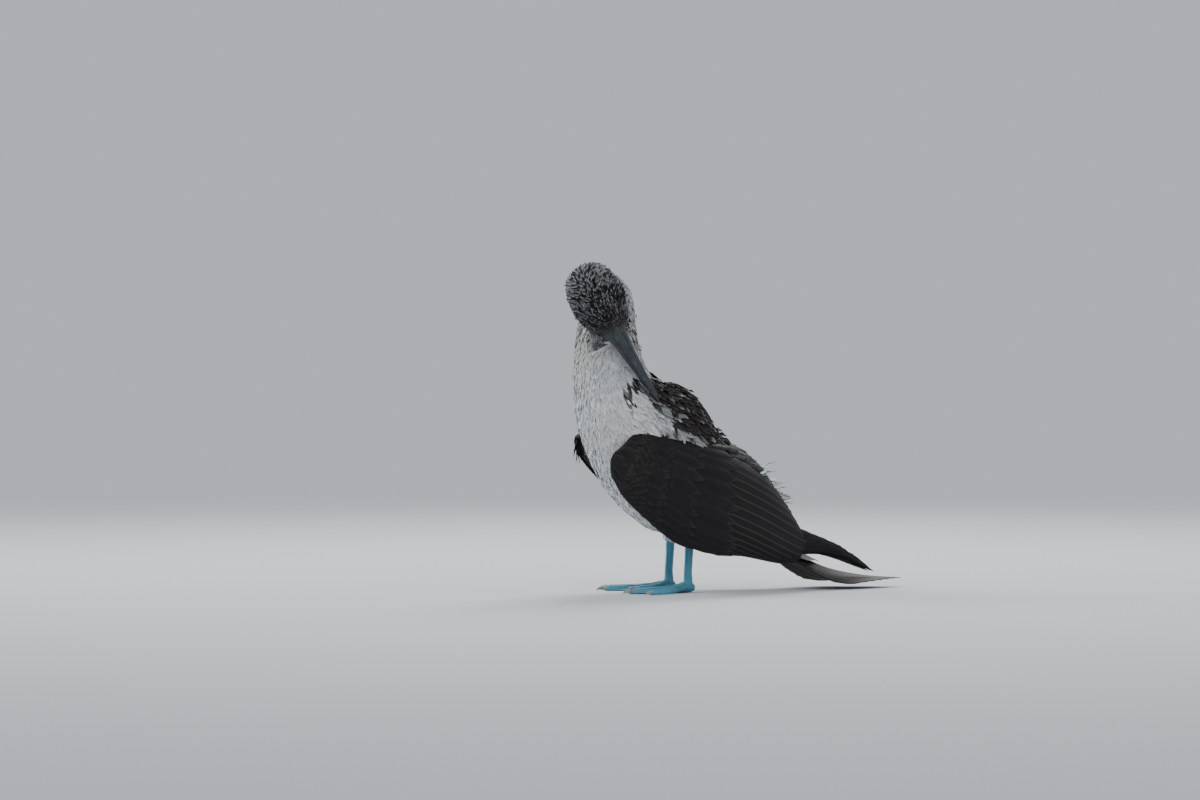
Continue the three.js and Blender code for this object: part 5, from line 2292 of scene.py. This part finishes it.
@dataclass
class Foot:
    """A shank and a webbed foot with four toes, on the bird's left (-1) or right (+1) side."""

    name: str
    side: int
    stance: float = 30.0
    hub: tuple[float, float] = (-3.0, 13.0)
    toe_out: float = 0.2
    web_thickness: float = 1.45
    web_crown: float = 4.5
    shank_front: float = 4.45
    voxel: float = 0.62
    toes: tuple[Toe, ...] = (
        Toe("outer", 0.36, 76, 4.6, 10),
        Toe("middle", -0.06, 79, 4.8, 12),
        Toe("inner", -0.52, 58, 4.5, 10),
        Toe("hind", -1.3, 20, 3.6, 6.5),
    )

    def build(self, finishes: Finishes, scutes: "ScuteTree") -> list[Piece]:
        """Makes the shank, foot, scutes and claws.

        Args:
            finishes: The bird's materials.
            scutes: The tree that lays scutes along a line.

        Returns:
            The pieces.
        """
        foot = lay_piece(self._foot(finishes.foot), ("foot_" + self.name, "shank_" + self.name))
        shank = self._shank_line()[3:42] - [self.shank_front, 0, 0]
        lines = [(shank, 3.0, 24, (-1.0, 0.0, 0.0))]
        for toe in self.toes:
            count = max(8, round(toe.length / 2.6))
            lines.append((self._toe_top(toe), toe.radius * 0.62, count, (0.0, 0.0, 1.0)))
        rows = [scutes.lay("row", self._mirrored(line), *sizes) for line, *sizes in lines]
        plates = joined("scutes_" + self.name, rows)
        self._paint_shade(plates)
        claws = [
            lay_piece(self._claw(toe, finishes.claw), (f"claw_{toe.name}_{self.name}",))
            for toe in self.toes
        ]
        return [foot, lay_piece(plates), *claws]

    def _mirrored(self, points: Array) -> Array:
        """Places made for the right side, on this foot's side."""
        return points * np.array([1.0, self.side, 1.0])

    def _paint_shade(self, piece: Piece) -> None:
        """Paints shade on a piece: darker near the ground and the hub, where shade falls, and paler towards the
        toes' tips.

        Args:
            piece: The piece.
        """
        points = read_points(piece.data)
        reach = np.hypot(points[:, 0] - self.hub[0], np.abs(points[:, 1]) - self.stance)
        # Painted shade near the ground around the hub, where the foot meets the floor.
        low = smooth(14, 4, points[:, 2]) * smooth(60, 10, reach)
        shade = 0.88 + 0.18 * smooth(0, 70, reach) - 0.22 * low
        dress_attributes(piece, shade[:, None])

    def _heading(self, toe: Toe) -> Array:
        """The direction in which a toe points, on the ground."""
        angle = math.pi - self.toe_out - toe.angle
        return np.array([math.cos(angle), math.sin(angle), 0.0])

    def _toe_point(self, toe: Toe, share: Array) -> Array:
        """Places on a toe's middle line.

        Args:
            toe: The toe.
            share: Shares of the toe's length.

        Returns:
            Places in modelling millimetres.
        """
        share = np.asarray(share, float)[..., None]
        place = np.array([self.hub[0], self.stance, 0.0]) + share * toe.length * self._heading(toe)
        place[..., 2:] = 7.5 + (2.6 - 7.5) * np.minimum(1, share * 2)
        return place

    def _bar(self, points: Array, radii: Array, name: str, material: Material, flat: float = 1.0) -> Piece:
        """A round bar along points.

        Args:
            points: Its middle line.
            radii: Its radius at each point.
            name: Name of the object.
            material: What it is made of.
            flat: Its breadth as a share of its height.

        Returns:
            The bar.
        """
        tangent = unit(np.gradient(points, axis=0))
        steep = abs(tangent[0, 2]) > 0.8
        across = unit(np.cross(tangent, [1.0, 0, 0] if steep else [0, 0, 1.0]))
        up = unit(np.cross(across, tangent))
        turn = round_turn(28)[:, None]
        rings = np.cos(turn) * across[:, None] * flat + np.sin(turn) * up[:, None]
        return loft_mesh(name, self._mirrored(points[:, None] + radii[:, None, None] * rings), material)

    def _toe_bar(self, toe: Toe, material: Material) -> Piece:
        """A toe that swells at its joints and ends in a round pad.

        Args:
            toe: The toe.
            material: What it is made of.

        Returns:
            The finished piece.
        """
        share = np.linspace(0, 1, 48)
        swell = np.interp(share, [0, 0.26, 0.45, 0.7, 0.93, 1], [1.2, 0.84, 0.98, 0.84, 0.78, 0.62])
        for joint, breadth in ((0.45, 0.05), (0.74, 0.04)):
            swell = swell + 0.06 * np.exp(-(((share - joint) / breadth) ** 2))
        return self._bar(self._toe_point(toe, share), swell * toe.radius, "toe", material)

    def _web(self, first: Toe, second: Toe, material: Material) -> Piece:
        """The web between two toes: a thin sheet with soft folds and a hollow front edge.

        Args:
            first: The toe on one side.
            second: The toe on the other side.
            material: What it is made of.

        Returns:
            The finished piece.
        """
        c = np.linspace(0, 1, 34)
        r = np.linspace(0.08, 1, 40)[:, None]
        sag = np.sin(np.pi * c)
        reach = (0.97 - 0.2 * sag) * r
        edge = self._toe_point(first, reach)
        top = edge + (self._toe_point(second, reach) - edge) * c[:, None]
        folds = 0.35 * np.sin(c * 21 + 3 * r) * sag * r + 0.25 * np.sin(r * 26) * sag
        lift = self.web_crown * (1 - r) * 0.3 - 1.3 * sag * r + folds
        top[..., 2] = np.maximum(top[..., 2] + lift, 1.7)
        low = top - [0, 0, self.web_thickness]
        return loft_mesh("web", self._mirrored(np.concatenate([top, low[:, ::-1]], axis=1)), material)

    def _shank_line(self) -> Array:
        """The shank's middle line from the thigh down to the hub.

        Returns:
            Places in modelling millimetres.
        """
        x = self.hub[0] + 1
        corners = [(0, 66), (-0.5, 52), (-1, 38), (x, 24), (x, 9)]
        return spline([(along, self.stance, up) for along, up in corners], np.linspace(0, 4, 50))

    def _toe_top(self, toe: Toe) -> Array:
        """A line along the top of a toe.

        Args:
            toe: The toe.

        Returns:
            Places in modelling millimetres.
        """
        share = np.linspace(0.12, 0.95, 30)
        swell = np.interp(share, [0, 0.26, 0.45, 0.7, 1], [1.2, 0.84, 0.98, 0.84, 0.66])
        line = self._toe_point(toe, share)
        line[:, 2] += swell * toe.radius - 0.3
        return line

    def _foot(self, material: Material) -> Piece:
        """Shank, hub, toes and webs melted into one surface that stands flat on the ground.

        Args:
            material: What it is made of.

        Returns:
            The finished piece.
        """
        x = self.hub[0]
        line = self._shank_line()
        radii = np.interp(line[:, 2], [9, 24, 40, 60, 66], [6.2, 4.9, 4.8, 5.6, 6.4])
        share = np.linspace(0, 1, 20)
        hub = spline([(x + along, self.stance, up) for along, up in ((9, 5.5), (0, 6.6), (-10, 6.0))], share * 2)
        parts = [
            self._bar(line, radii, "shank", material, 0.82),
            self._bar(hub, np.interp(share, [0, 0.2, 0.5, 1], [3.5, 5.6, 7, 6]), "hub", material),
            *(self._toe_bar(toe, material) for toe in self.toes),
            *(self._web(a, b, material) for a, b in zip(self.toes[:-1], self.toes[1:])),
        ]
        piece = fused(joined("foot_skin_" + self.name, parts), self.voxel, 3)
        piece.data.materials.clear()
        piece.data.materials.append(material)
        points = read_points(piece.data)
        points[:, 2] = np.maximum(points[:, 2], -SHIFT[2])
        move_points(piece.data, points)
        self._paint_shade(piece)
        return piece

    def _claw(self, toe: Toe, material: Material) -> Piece:
        """A short curved claw.

        Args:
            toe: The toe.
            material: What it is made of.

        Returns:
            The finished piece.
        """
        s = np.linspace(0, 1, 18)
        tip = self._toe_point(toe, np.array([1.0]))[0]
        heading = self._heading(toe)
        line = tip + heading * (s * toe.claw)[:, None]
        line[:, 2] = tip[2] + 0.5 + 0.9 * np.sin(np.pi * s * 0.8) - (tip[2] - 0.2) * s**2.4
        radii = toe.radius * 0.56 * (1 - s) ** 0.62 + 0.12
        piece = self._bar(line, radii, f"claw_{toe.name}_{self.name}_horn", material, 0.8)
        self._paint_shade(piece)
        return piece


class ScuteTree:
    """A geometry-nodes tree that lays overlapping scutes along a line."""

    overlap = 0.62
    height = 0.75

    def __init__(self, material: Material) -> None:
        """Builds the tree for scutes of a material."""
        self.material = material
        self.tree = self._tree()

    def _tree(self) -> bpy.types.NodeTree:
        """The tree, with named inputs for the count, the sizes and the side that scutes face.

        Returns:
            The tree.
        """
        tree = bpy.data.node_groups.new("scutes_along_line", "GeometryNodeTree")
        face = tree.interface
        face.new_socket("Geometry", in_out="INPUT", socket_type="NodeSocketGeometry")
        self.inputs = {}
        for name, kind in (("Count", "Int"), ("Width", "Float"), ("Length", "Float"), ("Height", "Float"),
                           ("Out", "Vector")):
            socket = face.new_socket(name, in_out="INPUT", socket_type="NodeSocket" + kind)
            self.inputs[name] = socket.identifier
        face.new_socket("Geometry", in_out="OUTPUT", socket_type="NodeSocketGeometry")
        nodes = Nodes(tree)

        def result(kind: str, inputs: dict | None = None, **settings: object) -> bpy.types.NodeSocket:
            """The first output of a new node."""
            return nodes.add(kind, inputs, **settings).outputs[0]

        given = nodes.add("NodeGroupInput").outputs
        line = result("GeometryNodeMeshToCurve", {"Mesh": given["Geometry"]})
        spaced = result("GeometryNodeResampleCurve", {"Curve": line, "Count": given["Count"]})
        marked = result("GeometryNodeStoreNamedAttribute", {
            "Geometry": spaced, "Name": "way", "Value": result("GeometryNodeInputTangent"),
        }, data_type="FLOAT_VECTOR", domain="POINT")
        way = result("GeometryNodeInputNamedAttribute", {"Name": "way"}, data_type="FLOAT_VECTOR")
        outward = result("FunctionNodeAlignRotationToVector", {"Vector": given["Out"]}, axis="Z")
        placed = result("GeometryNodeInstanceOnPoints", {
            "Points": result("GeometryNodeCurveToPoints", {"Curve": marked}, mode="EVALUATED"),
            "Instance": result("GeometryNodeMeshIcoSphere", {"Radius": 1.0, "Subdivisions": 2}),
            "Rotation": result("FunctionNodeAlignRotationToVector", {"Rotation": outward, "Vector": way},
                               axis="Y", pivot_axis="Z"),
            "Scale": result("ShaderNodeCombineXYZ", dict(enumerate(
                (given["Width"], given["Length"], given["Height"])))),
        })
        real = result("GeometryNodeRealizeInstances", {"Geometry": placed})
        shaded = result("GeometryNodeSetShadeSmooth", {0: real})
        nodes.add("NodeGroupOutput", {
            0: result("GeometryNodeSetMaterial", {"Geometry": shaded, "Material": self.material}),
        })
        return tree

    def lay(self, name: str, line: Array, width: float, count: int,
            out: Triple) -> Piece:
        """Lays scutes along a line.

        Args:
            name: Name of the working object.
            line: Points of the line in modelling millimetres.
            width: Half width of a scute, in millimetres.
            count: Number of scutes.
            out: Direction in which the scutes face.

        Returns:
            The scutes as a plain mesh.
        """
        mesh = bpy.data.meshes.new(name)
        edges = [(i, i + 1) for i in range(len(line) - 1)]
        mesh.from_pydata(to_row(line).tolist(), edges, [])
        piece = linked(name, mesh)
        run = float(np.linalg.norm(np.diff(line, axis=0), axis=1).sum())
        modifier = piece.modifiers.new("scutes", "NODES")
        modifier.node_group = self.tree
        length = run / count * self.overlap
        values = (count, width * MM, length * MM, self.height * MM, out)
        for identifier, value in zip(self.inputs.values(), values):
            modifier[identifier] = value
        return fixed(piece)


# Studio


@dataclass
class Studio:
    """The pale floor, the soft lights and the camera at the photograph's viewing angle."""

    scale: float = 1.22
    yaw: float = 22.0
    elevation: float = 1.0
    distance: float = 6500.0
    middle_across: float = -97.6
    middle_up: float = 233.4
    image_width: int = 1200
    sensor: float = 36.0
    sky: Triple = (0.80, 0.84, 0.90)
    sky_power: float = 0.66
    floor: Triple = (0.62, 0.64, 0.66)
    floor_reach: float = 60.0
    lights: tuple[tuple, ...] = (
        ("key", (-1.6, -3.0, 3.0), 2.4, 38, (1.0, 0.99, 0.97)),
        ("fill", (2.8, -2.2, 1.4), 2.4, 14, (0.92, 0.96, 1.0)),
        ("rim", (1.4, 2.2, 2.8), 1.6, 105, (1.0, 0.98, 0.95)),
        ("back", (-2.4, 2.0, 2.2), 1.6, 70, (0.96, 0.98, 1.0)),
    )

    def build(self) -> None:
        """Makes the camera, floor, lights and sky."""
        yaw, rise = math.radians(self.yaw), math.radians(self.elevation)
        across = np.array([math.cos(yaw), -math.sin(yaw), 0.0])
        away = np.array([math.sin(yaw), math.cos(yaw), 0.0])
        target = across * self.middle_across + [0, 0, self.middle_up]
        look = away * math.cos(rise) - [0, 0, math.sin(rise)]
        data = bpy.data.cameras.new("camera")
        data.sensor_width = self.sensor
        data.lens = self.sensor * self.distance / (self.image_width * self.scale)
        data.clip_end = 200.0
        camera = linked("camera", data)
        camera.location = to_row(target - look * self.distance)
        camera.rotation_euler = Vector(look).to_track_quat("-Z", "Y").to_euler()
        bpy.context.scene.camera = camera
        self._floor()
        for light in self.lights:
            self._light(*light)
        world = bpy.data.worlds.new("sky")
        world.use_nodes = True
        glow = world.node_tree.nodes["Background"].inputs
        glow[0].default_value = (*self.sky, 1)
        glow[1].default_value = self.sky_power
        bpy.context.scene.world = world

    def _floor(self) -> None:
        """A wide pale floor that fades into the sky."""
        material, nodes, shader = new_material("pale_floor")
        nodes.fill(shader, {"Base Color": (*self.floor, 1), "Roughness": 0.85})
        where = nodes.add("ShaderNodeTexCoord").outputs["Object"]
        reach = nodes.add("ShaderNodeVectorMath", {0: where}, operation="LENGTH").outputs["Value"]
        share = nodes.add("ShaderNodeMapRange", {0: reach, 1: 0.55, 2: 3.4, 3: 0.0, 4: 1.0},
                          interpolation_type="SMOOTHSTEP")
        haze = nodes.add("ShaderNodeEmission", {0: (*self.sky, 1), 1: self.sky_power})
        mixed = {i: node.outputs[0] for i, node in enumerate((share, shader, haze))}
        faded = nodes.add("ShaderNodeMixShader", mixed)
        output = material.node_tree.nodes["Material Output"]
        nodes.fill(output, {"Surface": faded.outputs[0]})
        corners = np.array([[-1, -1, 0], [1, -1, 0], [1, 1, 0], [-1, 1, 0]]) * self.floor_reach
        mesh_object("floor", corners, np.array([[0, 1, 2, 3]]), material)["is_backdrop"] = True

    def _light(self, name: str, place: tuple, size: float, power: float, colour: Triple) -> None:
        """A soft square light that faces the bird.

        Args:
            name: Name of the light.
            place: Where it stands, in metres.
            size: Side of the square, in metres.
            power: Strength in watts.
            colour: Colour of the light.
        """
        data = bpy.data.lights.new(name, "AREA")
        data.size = size
        data.energy = power
        data.color = colour
        light = linked(name, data)
        light.location = place
        light.rotation_euler = (Vector((0, 0, 0.2)) - Vector(place)).to_track_quat("-Z", "Y").to_euler()


def main() -> None:
    """Builds the bird piece by piece."""
    logging.basicConfig(level=logging.INFO, format="%(message)s")
    Studio().build()
    finishes = Finishes()
    skin = Skin()
    skin.build(finishes.skin)
    Coat(skin).build(finishes)
    Wing("left", -1).build(finishes)
    Wing("right", 1, lower_share=0.5, wrist_raise=22.0, edge_rag=1.3, raised=True).build(finishes)
    Tail().build(finishes)
    Bill().build(finishes)
    Eyes().build(finishes)
    scutes = ScuteTree(finishes.foot)
    for name, side in (("left", -1), ("right", 1)):
        Foot(name, side).build(finishes, scutes)
    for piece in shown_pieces():
        LOG.info("%s: %d faces", piece.name, len(piece.data.polygons) if piece.type == "MESH" else 0)


if __name__ == "__main__":
    main()
